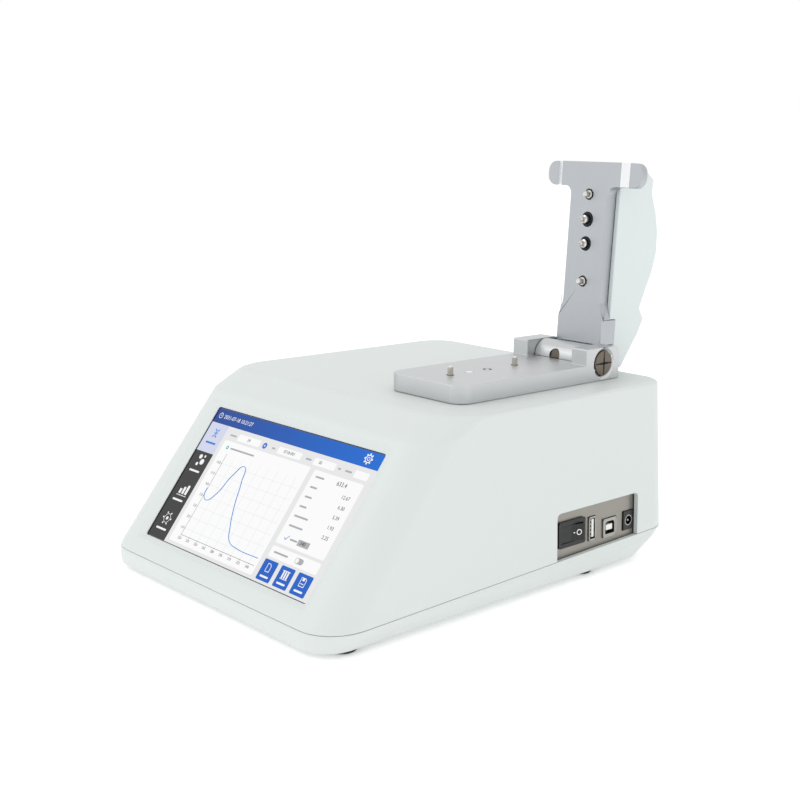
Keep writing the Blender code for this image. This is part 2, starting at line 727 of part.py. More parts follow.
def fibre(name, points, parent):
    """A jacketed fibre through its points, as a smooth tube."""
    curve = bpy.data.curves.new(name, "CURVE")
    curve.dimensions = "3D"
    curve.bevel_depth = 0.0011
    curve.bevel_resolution = 2
    curve.use_fill_caps = True
    line = curve.splines.new("POLY")
    smooth = []
    padded = [points[0], *points, points[-1]]
    for a, b, c, d in zip(padded, padded[1:], padded[2:], padded[3:]):
        for i in range(6):
            t = i / 6
            weights = (
                -t / 2 + t * t - t**3 / 2,
                1 - 2.5 * t * t + 1.5 * t**3,
                t / 2 + 2 * t * t - 1.5 * t**3,
                (t**3 - t * t) / 2,
            )
            total = Vector((0, 0, 0))
            for weight, point in zip(weights, (a, b, c, d)):
                total += Vector(point) * weight
            smooth.append(total)
    smooth.append(Vector(points[-1]))
    line.points.add(len(smooth) - 1)
    for spot, place in zip(line.points, smooth):
        spot.co = (*(place * 0.001), 1.0)
    curve.materials.append(FIBRE)
    made = bpy.data.objects.new(name, curve)
    made.parent = parent
    bpy.context.scene.collection.objects.link(made)
    return made


fibre(
    "lower_fibre",
    (
        (PLATE_X, HINGE_Y - SAMPLE, MOTOR_LOW - 0.5),
        (PLATE_X, HINGE_Y - SAMPLE, MOTOR_LOW - 8.0),
        (PLATE_X - 8.0, HINGE_Y - SAMPLE + 14.0, MOTOR_LOW - 22.0),
        (SPEC_X[1] + 14.0, spec_y[0] + 30.0, SPEC_TOP - 22.0),
        (SPEC_X[1] + 0.6, spec_y[0] + 32.0, SPEC_TOP - 22.0),
    ),
    instrument,
)

# Sample arm, drawn in its own frame: the hinge axis is its origin.
arm = frame("arm_pivot", (PLATE_X, HINGE_Y, HINGE_Z), (-LEAN, 0, 0), instrument)
FACE_T = ARM_OFFSET
COLUMN_HALF = COLUMN_WIDTH / 2
BLOCK_HALF = BLOCK_WIDTH / 2
HEAD_HALF = HEAD_WIDTH / 2
FLAT_HALF = FLAT_WIDTH / 2
column_outline = rounded(
    (
        (-BLOCK_HALF, BLOCK_BASE, 0),
        (BLOCK_HALF, BLOCK_BASE, 0),
        (BLOCK_HALF, BLOCK_TOP, 6.0),
        (COLUMN_HALF, BLOCK_TOP + 10.0, 6.0),
        (COLUMN_HALF, HEAD_BASE, 5.0),
        (FLAT_HALF - 1.4, HEAD_BASE, 0),
        (FLAT_HALF - 1.4, HEAD_BASE + 2.0, 0),
        (-FLAT_HALF + 1.4, HEAD_BASE + 2.0, 0),
        (-FLAT_HALF + 1.4, HEAD_BASE, 0),
        (-COLUMN_HALF, HEAD_BASE, 5.0),
        (-COLUMN_HALF, BLOCK_TOP + 10.0, 6.0),
        (-BLOCK_HALF, BLOCK_TOP, 6.0),
    ),
    4,
)
arm_mesh = prism(column_outline, FACE_T, FACE_T + ARM_THICK, "Y")
arm_plate = node("arm_plate", arm_mesh, ALUMINIUM, arm, True)
wing = FACE_T + WING_STEP
head_outline = rounded(
    (
        (-HEAD_HALF - 1.0, wing, 0),
        (-WING_INNER, wing, 4.0),
        (-FLAT_HALF, FACE_T, 4.0),
        (FLAT_HALF, FACE_T, 4.0),
        (WING_INNER, wing, 4.0),
        (HEAD_HALF + 1.0, wing, 0),
        (HEAD_HALF + 1.0, FACE_T + ARM_THICK, 0),
        (-HEAD_HALF - 1.0, FACE_T + ARM_THICK, 0),
    ),
    4,
)
head_top = HEAD_BASE + HEAD_HEIGHT
head = hidden("arm_head", prism(head_outline, HEAD_BASE - 1.0, head_top + 1.0), arm)
trim_outline = box_outline(-HEAD_HALF, HEAD_HALF, HEAD_BASE, head_top, HEAD_RADIUS, 6)
trim = prism(trim_outline, FACE_T - 5.0, FACE_T + ARM_THICK + 5.0, "Y")
boolean(head, hidden("head_trim", trim, arm), "INTERSECT")
boolean(arm_plate, head, "UNION")
block = box(-BLOCK_HALF, BLOCK_HALF, FACE_T + 2.0, FACE_T + BLOCK_THICK, BLOCK_BASE, BLOCK_TOP)
boolean(arm_plate, hidden("arm_block", block, arm), "UNION")

# Knuckle: the barrel between the ears, and the web that the arm stands on.
knuckle_half = EAR_GAP / 2 - GAP
web_top = BLOCK_BASE - GAP
web = box(-BLOCK_HALF, BLOCK_HALF, 1.0, WEB_LENGTH, -3.0, web_top)
barrel = cylinder((0, 0), 2 * BARREL_RADIUS, -knuckle_half, knuckle_half, "X", 36)
knuckle = node("hinge_knuckle", barrel, ALUMINIUM, arm, True)
boolean(knuckle, hidden("knuckle_web", web, arm), "UNION")
shaft_hole = cylinder((0, 0), SHAFT_DIAMETER + 2 * GAP, -40, 40, "X")
boolean(knuckle, hidden("knuckle_bore", shaft_hole, arm))
SET_SCREW_X = -2.0
set_way = cylinder((SET_SCREW_X, 1.0), 8.4, -20, -5.4, "Y")
boolean(knuckle, hidden("set_screw_way", set_way, arm))
set_screw = cylinder((SET_SCREW_X, 1.0), 7.8, -BARREL_RADIUS + 1.4, -5.8, "Y")
node("knuckle_set_screw", set_screw, DARK_STEEL, arm, True)
for i, x in enumerate((-12.0, 12.0)):
    middle_t = FACE_T + BLOCK_THICK / 2
    profile = [(-2.7, 6.4), (0.5, 6.4), (0.5, 4.0), (BLOCK_BASE + 9.0, 4.0)]
    node(f"arm_screw_{i + 1}", turned(profile, (x, middle_t), steps=16), STEEL, arm, True)
    clear = [(-6.0, 7.0), (0.8, 7.0), (0.8, 4.6), (BLOCK_BASE + 9.6, 4.6)]
    way = hidden(f"arm_screw_way_{i + 1}", turned(clear, (x, middle_t), steps=16), arm)
    boolean(knuckle, way)
    boolean(arm_plate, way)

# Stop screws that meet the plate's pins, and the two optic plungers in their bushes.
for name, height in (("stop_screw_front", FRONT_PIN), ("stop_screw_rear", REAR_PIN)):
    profile = [(FACE_T - STOP_HEIGHT, STOP_DIAMETER - 0.8), (FACE_T - STOP_HEIGHT + 0.5, STOP_DIAMETER)]
    profile += [(FACE_T + 3.0, STOP_DIAMETER), (FACE_T + 3.0, 6.0), (FACE_T + 6.5, 6.0)]
    node(name, turned(profile, (0, height), "Y", 16), STEEL, arm, True)
    clear = [(FACE_T - 1.0, 6.0 + 2 * GAP), (FACE_T + 6.5 + GAP, 6.0 + 2 * GAP)]
    way = turned(clear, (0, height), "Y", 16)
    boolean(arm_plate, hidden(f"{name}_way", way, arm))

plunger_back = FACE_T + BUSH_LENGTH
for name, height, bush_diameter, tip_diameter, reach in (
    ("front", REFERENCE, BUSH_FRONT_DIAMETER, TIP_FRONT_DIAMETER, TIP_FRONT_REACH),
    ("rear", SAMPLE, BUSH_REAR_DIAMETER, TIP_REAR_DIAMETER, TIP_REAR_REACH),
):
    place = (0, height)
    flange = bush_diameter + 3.0
    behind = FACE_T + ARM_THICK + GAP
    profile = [(FACE_T, bush_diameter), (behind, bush_diameter)]
    profile += [(behind, flange), (plunger_back, flange)]
    bush = node(f"plunger_bush_{name}", turned(profile, place, "Y"), DARK_STEEL, arm, True)
    way = cylinder(place, bush_diameter + 2 * GAP, FACE_T - 1, FACE_T + ARM_THICK + 1, "Y")
    boolean(arm_plate, hidden(f"bush_way_{name}", way, arm))
    slide_way = cylinder(place, tip_diameter + 2 * SLIDE_CLEAR, FACE_T - 1, plunger_back + 1, "Y")
    boolean(bush, hidden(f"slide_way_{name}", slide_way, arm))
    slide = frame(f"plunger_slide_{name}", (0, FACE_T, height), parent=arm)
    collar = BUSH_LENGTH + GAP
    profile = [(-reach, 1.6), (-reach + 0.7, NOSE_DIAMETER), (-reach + 3.2, NOSE_DIAMETER)]
    profile += [(-reach + 3.6, tip_diameter), (collar, tip_diameter), (collar, tip_diameter + 2.4)]
    profile += [(collar + 1.6, tip_diameter + 2.4)]
    plunger = node(f"plunger_{name}", turned(profile, (0, 0), "Y"), STEEL, slide, True)

# Cover behind the arm: a hollow pod, open towards the arm, that hides the optics.
cover_front = FACE_T + ARM_THICK + GAP
block_back = FACE_T + BLOCK_THICK + GAP


def cover_mesh(half, inset, front):
    """The pod at an inset from its skin, through flat sections with rounded back corners."""
    rings = []
    count = len(COVER_BACK)
    for i, (depth, height) in enumerate(COVER_BACK):
        end = i in (0, count - 1)
        back = FACE_T + depth - inset
        level = height
        if end:
            level += inset if i == 0 else -inset
        corner = min(5.0, (back - front) / 3) - inset
        narrow = 1.6 if i == count - 1 and inset == 0 else 0.0
        outline = rounded(
            (
                (-half + narrow, front, 0),
                (half - narrow, front, 0),
                (half - narrow, back, max(corner, 1.0)),
                (-half + narrow, back, max(corner, 1.0)),
            ),
            4,
        )
        rings.append([(x, y, level) for x, y in outline])
    return loft(rings)


COVER_HALF = COVER_WIDTH / 2
cover = node("arm_cover", cover_mesh(COVER_HALF, 0.0, cover_front), COVER_PLASTIC, arm, True)
pod = cover_mesh(COLUMN_HALF - 0.4, COVER_WALL, cover_front - 3.0)
boolean(cover, hidden("cover_hollow", pod, arm))
notch = box(-30, 30, 0, block_back, -20, BLOCK_TOP + GAP)
boolean(cover, hidden("cover_notch", notch, arm))

fibre(
    "upper_fibre",
    (
        (0, plunger_back + 9.0, SAMPLE),
        (0, plunger_back + 14.0, SAMPLE - 5.0),
        (0, plunger_back + 16.0, SAMPLE - 16.0),
        (0, plunger_back + 12.0, SAMPLE - 34.0),
        (0, plunger_back + 8.0, BLOCK_TOP - 4.0),
        (0, plunger_back + 5.0, BLOCK_BASE + 3.0),
    ),
    arm,
)

# Ports: a steel panel behind a recess in the right side, in the wall's own slant.
ports = frame("ports", (HALF_SEAM, PORT_Y, SEAM_Z), (0, -SIDE_DRAFT, 0), instrument)
recess_outline = rounded(
    (
        (0, -14.0, 0),
        (PORT_LENGTH, -14.0, 0),
        (PORT_LENGTH, PORT_HEIGHT, 3.0),
        (0, PORT_HEIGHT, 3.0),
    ),
    4,
)
recess = prism(recess_outline, -WALL - 2.0, 5.0, "X")
boolean(housing, hidden("port_recess", recess, ports))
PANEL_FRONT = -PORT_SINK
PANEL_BACK = PANEL_FRONT - PANEL_THICK
panel_low = -4.0
panel_outline = (
    (PANEL_FRONT, panel_low),
    (PANEL_FRONT, PORT_HEIGHT + 4.0),
    (PANEL_BACK, PORT_HEIGHT + 4.0),
    (PANEL_BACK, panel_low + PANEL_THICK),
    (PANEL_BACK - 14.0, panel_low + PANEL_THICK),
    (PANEL_BACK - 14.0, panel_low),
)
panel_ends = (-4.0, PORT_LENGTH + 3.0)
room = box(
    PANEL_BACK - 16.0,
    PANEL_FRONT + GAP,
    panel_ends[0] - GAP,
    panel_ends[1] + GAP,
    panel_low - GAP,
    PORT_HEIGHT + 4.0 + GAP,
)
panel_room = hidden("panel_room", room, ports)
boolean(housing, panel_room)
boolean(tray, panel_room)
panel = prism(panel_outline, *panel_ends, "Y")
panel = node("port_panel", panel, PANEL_STEEL, ports)


def panel_hole(name, centre_y, centre_z, length, height, round_hole=0.0):
    y0 = centre_y - length / 2 - GAP
    z0 = centre_z - height / 2 - GAP
    outline = box_outline(y0, y0 + length + 2 * GAP, z0, z0 + height + 2 * GAP)
    hole = prism(outline, PANEL_BACK - 1, PANEL_FRONT + 1, "X")
    boolean(panel, hidden(f"{name}_hole", hole, ports))


def socket(name, place, look, proud, depth, mouth, core):
    """A port body through the panel: a mouth cut into its front, with a core left standing in it."""
    centre_y, centre_z, length, height = place
    y0, y1 = centre_y - length / 2, centre_y + length / 2
    z0, z1 = centre_z - height / 2, centre_z + height / 2
    front = PANEL_FRONT + proud
    body = box(PANEL_BACK - depth, front, y0, y1, z0, z1)
    made = node(name, body, look, ports, True)
    mouth = hidden(f"{name}_mouth", mouth(centre_y, centre_z, front), ports)
    boolean(mouth, hidden(f"{name}_core", core(centre_y, centre_z, front), ports))
    boolean(made, mouth)
    panel_hole(name, centre_y, centre_z, length, height)
    return made


socket(
    "usb_a_socket",
    USB_A,
    STEEL,
    0.8,
    14.0,
    lambda y, z, front: box(front - 9.0, front + 2, y - 2.4, y + 2.4, z - 6.4, z + 6.4),
    lambda y, z, front: box(front - 12.0, front - 0.8, y + 0.1, y + 1.8, z - 5.4, z + 5.4),
)
socket(
    "usb_b_socket",
    USB_B,
    STEEL,
    0.8,
    15.0,
    lambda y, z, front: prism(
        rounded(
            (
                (y - 4.3, z - 3.9, 0),
                (y + 4.3, z - 3.9, 0),
                (y + 4.3, z + 2.6, 0),
                (y + 3.0, z + 3.9, 0),
                (y - 3.0, z + 3.9, 0),
                (y - 4.3, z + 2.6, 0),
            )
        ),
        front - 9.0,
        front + 2,
        "X",
    ),
    lambda y, z, front: box(front - 12.0, front - 0.8, y - 2.8, y + 2.8, z - 1.6, z + 1.6),
)
socket(
    "dc_inlet",
    DC,
    BLACK_PLASTIC,
    0.8,
    12.0,
    lambda y, z, front: cylinder((y, z), 6.4, front - 9.0, front + 2, "X", 20),
    lambda y, z, front: cylinder((y, z), 2.0, front - 12.0, front - 1.0, "X", 12),
)

# Power rocker: a bezel through the panel, and the cap that tips about an upright pivot.
y, z, length, height = ROCKER
bezel_front = PANEL_FRONT + 1.6
rim = prism(
    box_outline(y - length / 2, y + length / 2, z - height / 2, z + height / 2, 1.2),
    PANEL_FRONT + GAP,
    bezel_front,
    "X",
)
bezel = node("rocker_frame", rim, BLACK_PLASTIC, ports, True)
ROCKER_BODY = (length - 2.0, height - 3.0)
body_outline = box_outline(
    y - ROCKER_BODY[0] / 2,
    y + ROCKER_BODY[0] / 2,
    z - ROCKER_BODY[1] / 2,
    z + ROCKER_BODY[1] / 2,
)
rear_body = prism(body_outline, PANEL_BACK - 12.0, PANEL_FRONT + 1.0, "X")
boolean(bezel, hidden("rocker_body", rear_body, ports), "UNION")
CAP_HALF = length / 2 - 3.2
pocket = box(
    PANEL_BACK - 10.0,
    bezel_front + 2,
    y - length / 2 + 2.1,
    y + length / 2 - 2.1,
    z - height / 2 + 2.6,
    z + height / 2 - 2.6,
)
boolean(bezel, hidden("rocker_pocket", pocket, ports))
panel_hole("rocker", y, z, *ROCKER_BODY)
pivot = frame("rocker_pivot", (PANEL_FRONT - 2.0, y, z), (0, 0, -ROCKER_TILT), ports)
cap_outline = (
    (4.6, -CAP_HALF),
    (3.4, 0.0),
    (4.6, CAP_HALF),
    (1.0, CAP_HALF),
    (-4.5, 2.6),
    (-4.5, -2.6),
    (1.0, -CAP_HALF),
)
cap_height = height / 2 - 2.6 - GAP
cap_mesh = prism(cap_outline, -cap_height, cap_height)
node("rocker_cap", cap_mesh, BLACK_PLASTIC, pivot)
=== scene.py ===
"""Benchtop micro-volume spectrophotometer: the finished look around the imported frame.

Sizes inside a section are in millimetres; its meshes are turned to metres as they are placed.
"""

import json
import math

import bmesh
import bpy
from mathutils import Matrix, Vector


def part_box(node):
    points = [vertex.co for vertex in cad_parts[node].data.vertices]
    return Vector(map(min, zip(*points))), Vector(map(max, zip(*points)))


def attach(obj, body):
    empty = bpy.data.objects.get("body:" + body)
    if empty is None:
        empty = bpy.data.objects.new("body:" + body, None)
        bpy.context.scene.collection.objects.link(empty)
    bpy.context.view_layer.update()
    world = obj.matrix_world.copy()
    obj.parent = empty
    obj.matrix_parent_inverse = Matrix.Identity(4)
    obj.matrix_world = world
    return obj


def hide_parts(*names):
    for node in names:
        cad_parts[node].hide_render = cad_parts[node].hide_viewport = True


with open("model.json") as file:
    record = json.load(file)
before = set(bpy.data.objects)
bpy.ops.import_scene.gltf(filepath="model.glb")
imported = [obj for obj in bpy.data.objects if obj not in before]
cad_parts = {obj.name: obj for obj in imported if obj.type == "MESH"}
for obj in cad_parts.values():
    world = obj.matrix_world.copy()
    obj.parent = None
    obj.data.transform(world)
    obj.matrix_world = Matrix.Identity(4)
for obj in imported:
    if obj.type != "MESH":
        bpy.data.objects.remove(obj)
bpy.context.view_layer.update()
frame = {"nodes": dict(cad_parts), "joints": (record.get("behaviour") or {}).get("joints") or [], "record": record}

# ---------------------------------------------------------------- moulded case
# Two ABS mouldings, painted pale grey-green with a fine spark texture. The housing and the
# tray meet at a sloping 0.3 mm seam and are screwed together from below. Both are the packed
# solids, welded and with their edges broken as a mould tool leaves them.

MM = 0.001


class Value:
    """A shader output that takes part in Python sums."""

    def __init__(self, look, socket):
        self.look = look
        self.socket = socket

    def math(self, operation, *others):
        return self.look.node("ShaderNodeMath", {"operation": operation}, self, *others)

    def __add__(self, other):
        return self.math("ADD", other)

    __radd__ = __add__

    def __sub__(self, other):
        return self.math("SUBTRACT", other)

    def __rsub__(self, other):
        return self.look.node("ShaderNodeMath", {"operation": "SUBTRACT"}, other, self)

    def __mul__(self, other):
        return self.math("MULTIPLY", other)

    __rmul__ = __mul__

    def __truediv__(self, other):
        return self.math("DIVIDE", other)

    def over(self, edge):
        return self.math("GREATER_THAN", edge)


class Look:
    """A material built on one Principled shader."""

    def __init__(self, name, **fixed):
        self.material = bpy.data.materials.new(name)
        self.material.use_nodes = True
        self.tree = self.material.node_tree
        self.shader = self.tree.nodes["Principled BSDF"]
        for socket, value in fixed.items():
            self.feed(socket.replace("_", " "), value)

    def node(self, kind, settings, *values, out=0, **named):
        made = self.tree.nodes.new(kind)
        for key, value in settings.items():
            setattr(made, key, value)
        slots = list(enumerate(values)) + [(k.replace("_", " "), v) for k, v in named.items()]
        for key, value in slots:
            self.join(made.inputs[key], value)
        return Value(self, made.outputs[out])

    def join(self, socket, value):
        if value is None:
            return
        if isinstance(value, Value):
            self.tree.links.new(value.socket, socket)
        elif isinstance(value, tuple) and len(value) == 3 and socket.type == "RGBA":
            socket.default_value = (*value, 1.0)
        else:
            socket.default_value = value

    def feed(self, socket, value):
        self.join(self.shader.inputs[socket], value)

    def place(self, scale=(1.0, 1.0, 1.0)):
        where = self.node("ShaderNodeTexCoord", {}, out=3)
        return self.node("ShaderNodeMapping", {}, where, Scale=scale)

    def noise(self, scale, detail=2.0, rough=0.5, stretch=(1.0, 1.0, 1.0)):
        return self.node(
            "ShaderNodeTexNoise",
            {},
            Vector=self.place(stretch),
            Scale=scale,
            Detail=detail,
            Roughness=rough,
        )

    def mix(self, share, first, second):
        made = self.tree.nodes.new("ShaderNodeMix")
        made.data_type = "RGBA"
        self.join(made.inputs[0], share)
        self.join(made.inputs[6], first)
        self.join(made.inputs[7], second)
        return Value(self, made.outputs[2])

    def grain(self, height, strength, depth):
        self.feed(
            "Normal",
            self.node("ShaderNodeBump", {}, Strength=strength, Distance=depth, Height=height),
        )


def srgb(red, green, blue):
    """A colour given in the 0 to 255 values of a paint chip, in linear light."""
    steps = (red / 255, green / 255, blue / 255)
    return tuple(c / 12.92 if c <= 0.04045 else ((c + 0.055) / 1.055) ** 2.4 for c in steps)


def moulding(name, colour, rough, grain_size=0.45, grain=0.12, drift=0.03):
    """Textured plastic: a fine spark grain, and a tint and gloss that drift a little."""
    look = Look(name)
    fine = look.noise(1.0 / (grain_size * MM), 3.0, 0.6)
    broad = look.noise(14.0, 2.0)
    darker = tuple(c * (1.0 - drift) for c in colour)
    look.feed("Base Color", look.mix(broad, darker, colour))
    look.feed("Roughness", rough + (fine - 0.5) * 0.10 + (broad - 0.5) * 0.06)
    look.grain(fine, grain, 0.06 * MM)
    return look.material


def paint(piece, material):
    piece.data.materials.clear()
    piece.data.materials.append(material)


def link(name, mesh, material, body, smooth=0.0):
    """A bmesh in metres becomes a piece that rides on a body."""
    data = bpy.data.meshes.new(name)
    mesh.to_mesh(data)
    mesh.free()
    if smooth:
        data.shade_smooth()
        data.set_sharp_from_angle(angle=math.radians(smooth))
    piece = bpy.data.objects.new(name, data)
    bpy.context.scene.collection.objects.link(piece)
    paint(piece, material)
    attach(piece, body)
    return piece


BODY_OF = {}
for body, group in frame["record"]["behaviour"]["bodies"].items():
    BODY_OF.update({node: body for node in group})


def copy_of(node):
    """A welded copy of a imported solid, with its flat areas as single faces."""
    mesh = bmesh.new()
    mesh.from_mesh(frame["nodes"][node].data)
    bmesh.ops.remove_doubles(mesh, verts=mesh.verts, dist=0.003 * MM)
    bmesh.ops.dissolve_limit(
        mesh, angle_limit=math.radians(0.5), verts=mesh.verts, edges=mesh.edges
    )
    return mesh


def finish_node(name, node, material, edge, sharp=34.0, cutters=()):
    """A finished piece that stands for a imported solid: welded, cut if asked, edges broken."""
    piece = link(name, copy_of(node), material, BODY_OF[node])
    for cutter in cutters:
        data = bpy.data.meshes.new("cutter")
        bmesh.ops.recalc_face_normals(cutter, faces=cutter.faces)
        cutter.to_mesh(data)
        cutter.free()
        tool = bpy.data.objects.new("cutter", data)
        bpy.context.scene.collection.objects.link(tool)
        step = piece.modifiers.new("cut", "BOOLEAN")
        step.operation = "DIFFERENCE"
        step.solver = "EXACT"
        step.object = tool
        shape = bpy.context.evaluated_depsgraph_get()
        done = bpy.data.meshes.new_from_object(piece.evaluated_get(shape))
        piece.modifiers.clear()
        piece.data = done
        bpy.data.objects.remove(tool)
    mesh = bmesh.new()
    mesh.from_mesh(piece.data)
    bmesh.ops.remove_doubles(mesh, verts=mesh.verts, dist=0.003 * MM)
    mesh.to_mesh(piece.data)
    mesh.free()
    piece.data.shade_smooth()
    piece.data.set_sharp_from_angle(angle=math.radians(sharp))
    paint(piece, material)
    if edge:
        bevel = piece.modifiers.new("broken_edges", "BEVEL")
        bevel.width = edge * MM
        bevel.segments = 2
        bevel.limit_method = "ANGLE"
        bevel.angle_limit = math.radians(sharp)
        bevel.use_clamp_overlap = False
        bevel.harden_normals = False
        even = piece.modifiers.new("even_shading", "WEIGHTED_NORMAL")
        even.keep_sharp = True
    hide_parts(node)
    return piece


CASE = moulding("case moulding", srgb(212, 218, 216), 0.46)
finish_node("case_housing", "upper_housing", CASE, 0.12)
finish_node("case_tray", "base_tray", CASE, 0.12)

# ---------------------------------------------------------------- feet and base screws
# Four rubber pads glued under the tray, and turned steel screws: four hold the tray to the
# housing, and four hold the arm's base plate down from inside it.

RUBBER = moulding("foot rubber", srgb(28, 28, 29), 0.82, 0.8, 0.4, 0.2)
for corner in ("front_left", "front_right", "rear_left", "rear_right"):
    paint(frame["nodes"][f"foot_{corner}"], RUBBER)


def metal(name, colour, rough, grain_size, grain, stretch=(1.0, 1.0, 1.0), spread=0.12, gloss_and_highlight_bands=None):
    """Bare metal: a grain from how it was finished, and, where X says so, a glossier strip painted near white as a
    painted highlight.
    """
    look = Look(name, Metallic=1.0)
    fine = look.noise(1.0 / (grain_size * MM), 3.0, 0.65, stretch)
    broad = look.noise(30.0, 2.0)
    darker = tuple(c * 0.86 for c in colour)
    tint = look.mix(fine * 0.6 + broad * 0.4, darker, colour)
    gloss = rough + (fine - 0.5) * spread
    if gloss_and_highlight_bands:
        centre, near, far = gloss_and_highlight_bands
        where = look.node("ShaderNodeTexCoord", {}, out=3)
        across = look.node("ShaderNodeSeparateXYZ", {}, where)
        out = (across - centre).math("ABSOLUTE")
        # painted highlight: inside each strip the colour goes to near white, and the roughness drops
        polished = out.over(near) * (1.0 - out.over(far))
        tint = look.mix(polished, tint, srgb(240, 242, 244))
        gloss = gloss * (1.0 - polished) + polished * 0.2
    look.feed("Base Color", tint)
    look.feed("Roughness", gloss)
    look.grain(fine, grain, 0.03 * MM)
    return look.material


STEEL = metal("turned steel", srgb(205, 203, 198), 0.24, 0.25, 0.25, (1.0, 1.0, 6.0))
for index in range(1, 5):
    paint(frame["nodes"][f"base_screw_{index}"], STEEL)
    paint(frame["nodes"][f"plate_screw_{index}"], STEEL)

# ---------------------------------------------------------------- display
# A seven inch panel behind a cover glass, in a bevelled window of the sloping face. What it
# shows is laid out in thin printed layers on the glass: a blue header, a side menu, a chart
# with its curve, a card of readings and three keys.

SLOPE = math.radians(52.35)
GLASS_THICK = 1.8
GLASS_LAP = 4.0
VIEW_WIDTH = 157.1
VIEW_HEIGHT = 88.8
glass_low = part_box("screen_glass")[0]
corner = Vector((0.0, glass_low.y, glass_low.z + GLASS_THICK * MM * math.cos(SLOPE)))
SCREEN = (
    Matrix.Translation(corner)
    @ Matrix.Rotation(SLOPE, 4, "X")
    @ Matrix.Scale(MM, 4)
    @ Matrix.Translation((-VIEW_WIDTH / 2, GLASS_LAP, 0.0))
)

GLASS = Look("cover glass", Coat_Weight=1.0, Coat_Roughness=0.03)
smear = GLASS.noise(60.0, 3.0)
GLASS.feed("Base Color", GLASS.mix(smear, srgb(16, 17, 19), srgb(22, 23, 26)))
GLASS.feed("Roughness", 0.05 + smear * 0.05)
paint(frame["nodes"]["screen_glass"], GLASS.material)


def lit(name, colour, second=None):
    """A colour of the lit display; with a second colour it runs from left to right."""
    look = Look(name, Base_Color=srgb(4, 4, 5), Roughness=0.16, Emission_Strength=0.95)
    look.feed("Specular IOR Level", 0.15)
    shade = look.noise(2600.0, 0.0)
    if second is None:
        other = tuple(c * 0.97 for c in colour)
        look.feed("Emission Color", look.mix(shade, other, colour))
    else:
        where = look.node("ShaderNodeTexCoord", {}, out=3)
        across = look.node("ShaderNodeSeparateXYZ", {}, where)
        span = VIEW_WIDTH * MM
        look.feed("Emission Color", look.mix(across / span + 0.5, colour, second))
    return look.material


def slab(mesh, x0, x1, y0, y1, level, radius=0.0, steps=4):
    """A flat patch of a mesh, with rounded corners if it has a radius."""
    made = bmesh.ops.create_grid(mesh, x_segments=1, y_segments=1, size=0.5)["verts"]
    bmesh.ops.scale(mesh, vec=(x1 - x0, y1 - y0, 1.0), verts=made)
    bmesh.ops.translate(mesh, vec=((x0 + x1) / 2, (y0 + y1) / 2, level), verts=made)
    if radius:
        bmesh.ops.bevel(
            mesh,
            geom=made,
            offset=radius,
            segments=steps,
            profile=0.5,
            affect="VERTICES",
            material=-1,
        )


def spot(mesh, x, y, radius, level, hole=0.0, steps=28):
    """A flat disc, or a ring when it has a hole."""
    made = bmesh.ops.create_circle(mesh, cap_ends=True, radius=radius, segments=steps)["verts"]
    bmesh.ops.translate(mesh, vec=(x, y, level), verts=made)
    if hole:
        face = made[0].link_faces[0]
        bmesh.ops.inset_region(
            mesh,
            faces=[face],
            thickness=radius - hole,
            use_even_offset=True,
            use_boundary=True,
        )
        bmesh.ops.delete(mesh, geom=[face], context="FACES")


def thicken(mesh, depth=0.03):
    """Gives flat patches a printed layer's thickness, so that they are closed."""
    bmesh.ops.solidify(mesh, geom=mesh.faces[:], thickness=depth)
    bmesh.ops.recalc_face_normals(mesh, faces=mesh.faces)


def stroke(mesh, start, end, width, level):
    """A straight flat line between two points."""
    (x0, y0), (x1, y1) = start, end
    made = bmesh.ops.create_grid(mesh, x_segments=1, y_segments=1, size=0.5)["verts"]
    bmesh.ops.scale(mesh, vec=(math.dist(start, end) + width * 0.6, width, 1.0), verts=made)
    turn = Matrix.Rotation(math.atan2(y1 - y0, x1 - x0), 3, "Z")
    bmesh.ops.rotate(mesh, matrix=turn, verts=made)
    bmesh.ops.translate(mesh, vec=((x0 + x1) / 2, (y0 + y1) / 2, level), verts=made)


def digits(mesh, text, x, y, size, level, align="CENTER"):
    """Numerals as flat outlines, centred in height on y."""
    curve = bpy.data.curves.new("numerals", "FONT")
    curve.body = text
    curve.size = size * 1.15
    curve.align_x = align
    curve.align_y = "CENTER"
    curve.resolution_u = 3
    letters = bpy.data.objects.new("numerals", curve)
    flat = bpy.data.meshes.new_from_object(letters)
    flat.transform(Matrix.Translation((x, y, level)))
    mesh.from_mesh(flat)
    bpy.data.objects.remove(letters)
    bpy.data.meshes.remove(flat)
    bpy.data.curves.remove(curve)


def show(name, mesh, material):
    """A finished display layer, moved from the display's own millimetres into place."""
    for face in mesh.faces:
        if face.normal.z < 0:
            face.normal_flip()
    thicken(mesh)
    bmesh.ops.transform(mesh, matrix=SCREEN, verts=mesh.verts)
    return link(name, mesh, material, "base")


EDGE = 0.6  # the black rim of the panel
HEAD_LOW = 78.7
MENU_RIGHT = 18.6
TAB_LOW = 59.0
CARD = (22.2, 106.0, 2.6, 70.0)
READINGS = (110.2, 152.5, 24.2, 69.4)
SWITCH = (110.2, 152.5, 15.8, 22.4)
KEYS = ((110.0, 121.9), (125.1, 137.0), (140.1, 152.5))
KEY_LOW, KEY_HIGH = 2.1, 14.3
LEVELS = (0.06, 0.12, 0.18, 0.24)

ground = bmesh.new()
slab(ground, MENU_RIGHT, VIEW_WIDTH - EDGE, EDGE, HEAD_LOW, LEVELS[0])
show("display_ground", ground, lit("display ground", srgb(236, 236, 237)))

header = bmesh.new()
slab(header, EDGE, VIEW_WIDTH - EDGE, HEAD_LOW, VIEW_HEIGHT - EDGE, LEVELS[0])
show("display_header", header, lit("display header", srgb(32, 70, 150), srgb(24, 110, 214)))

menu = bmesh.new()
slab(menu, EDGE, MENU_RIGHT, EDGE, TAB_LOW, LEVELS[0])
show("display_menu", menu, lit("display menu", srgb(60, 60, 60)))
tab = bmesh.new()
slab(tab, EDGE, MENU_RIGHT, TAB_LOW, HEAD_LOW, LEVELS[0])
show("display_tab", tab, lit("display tab", srgb(214, 219, 240)))

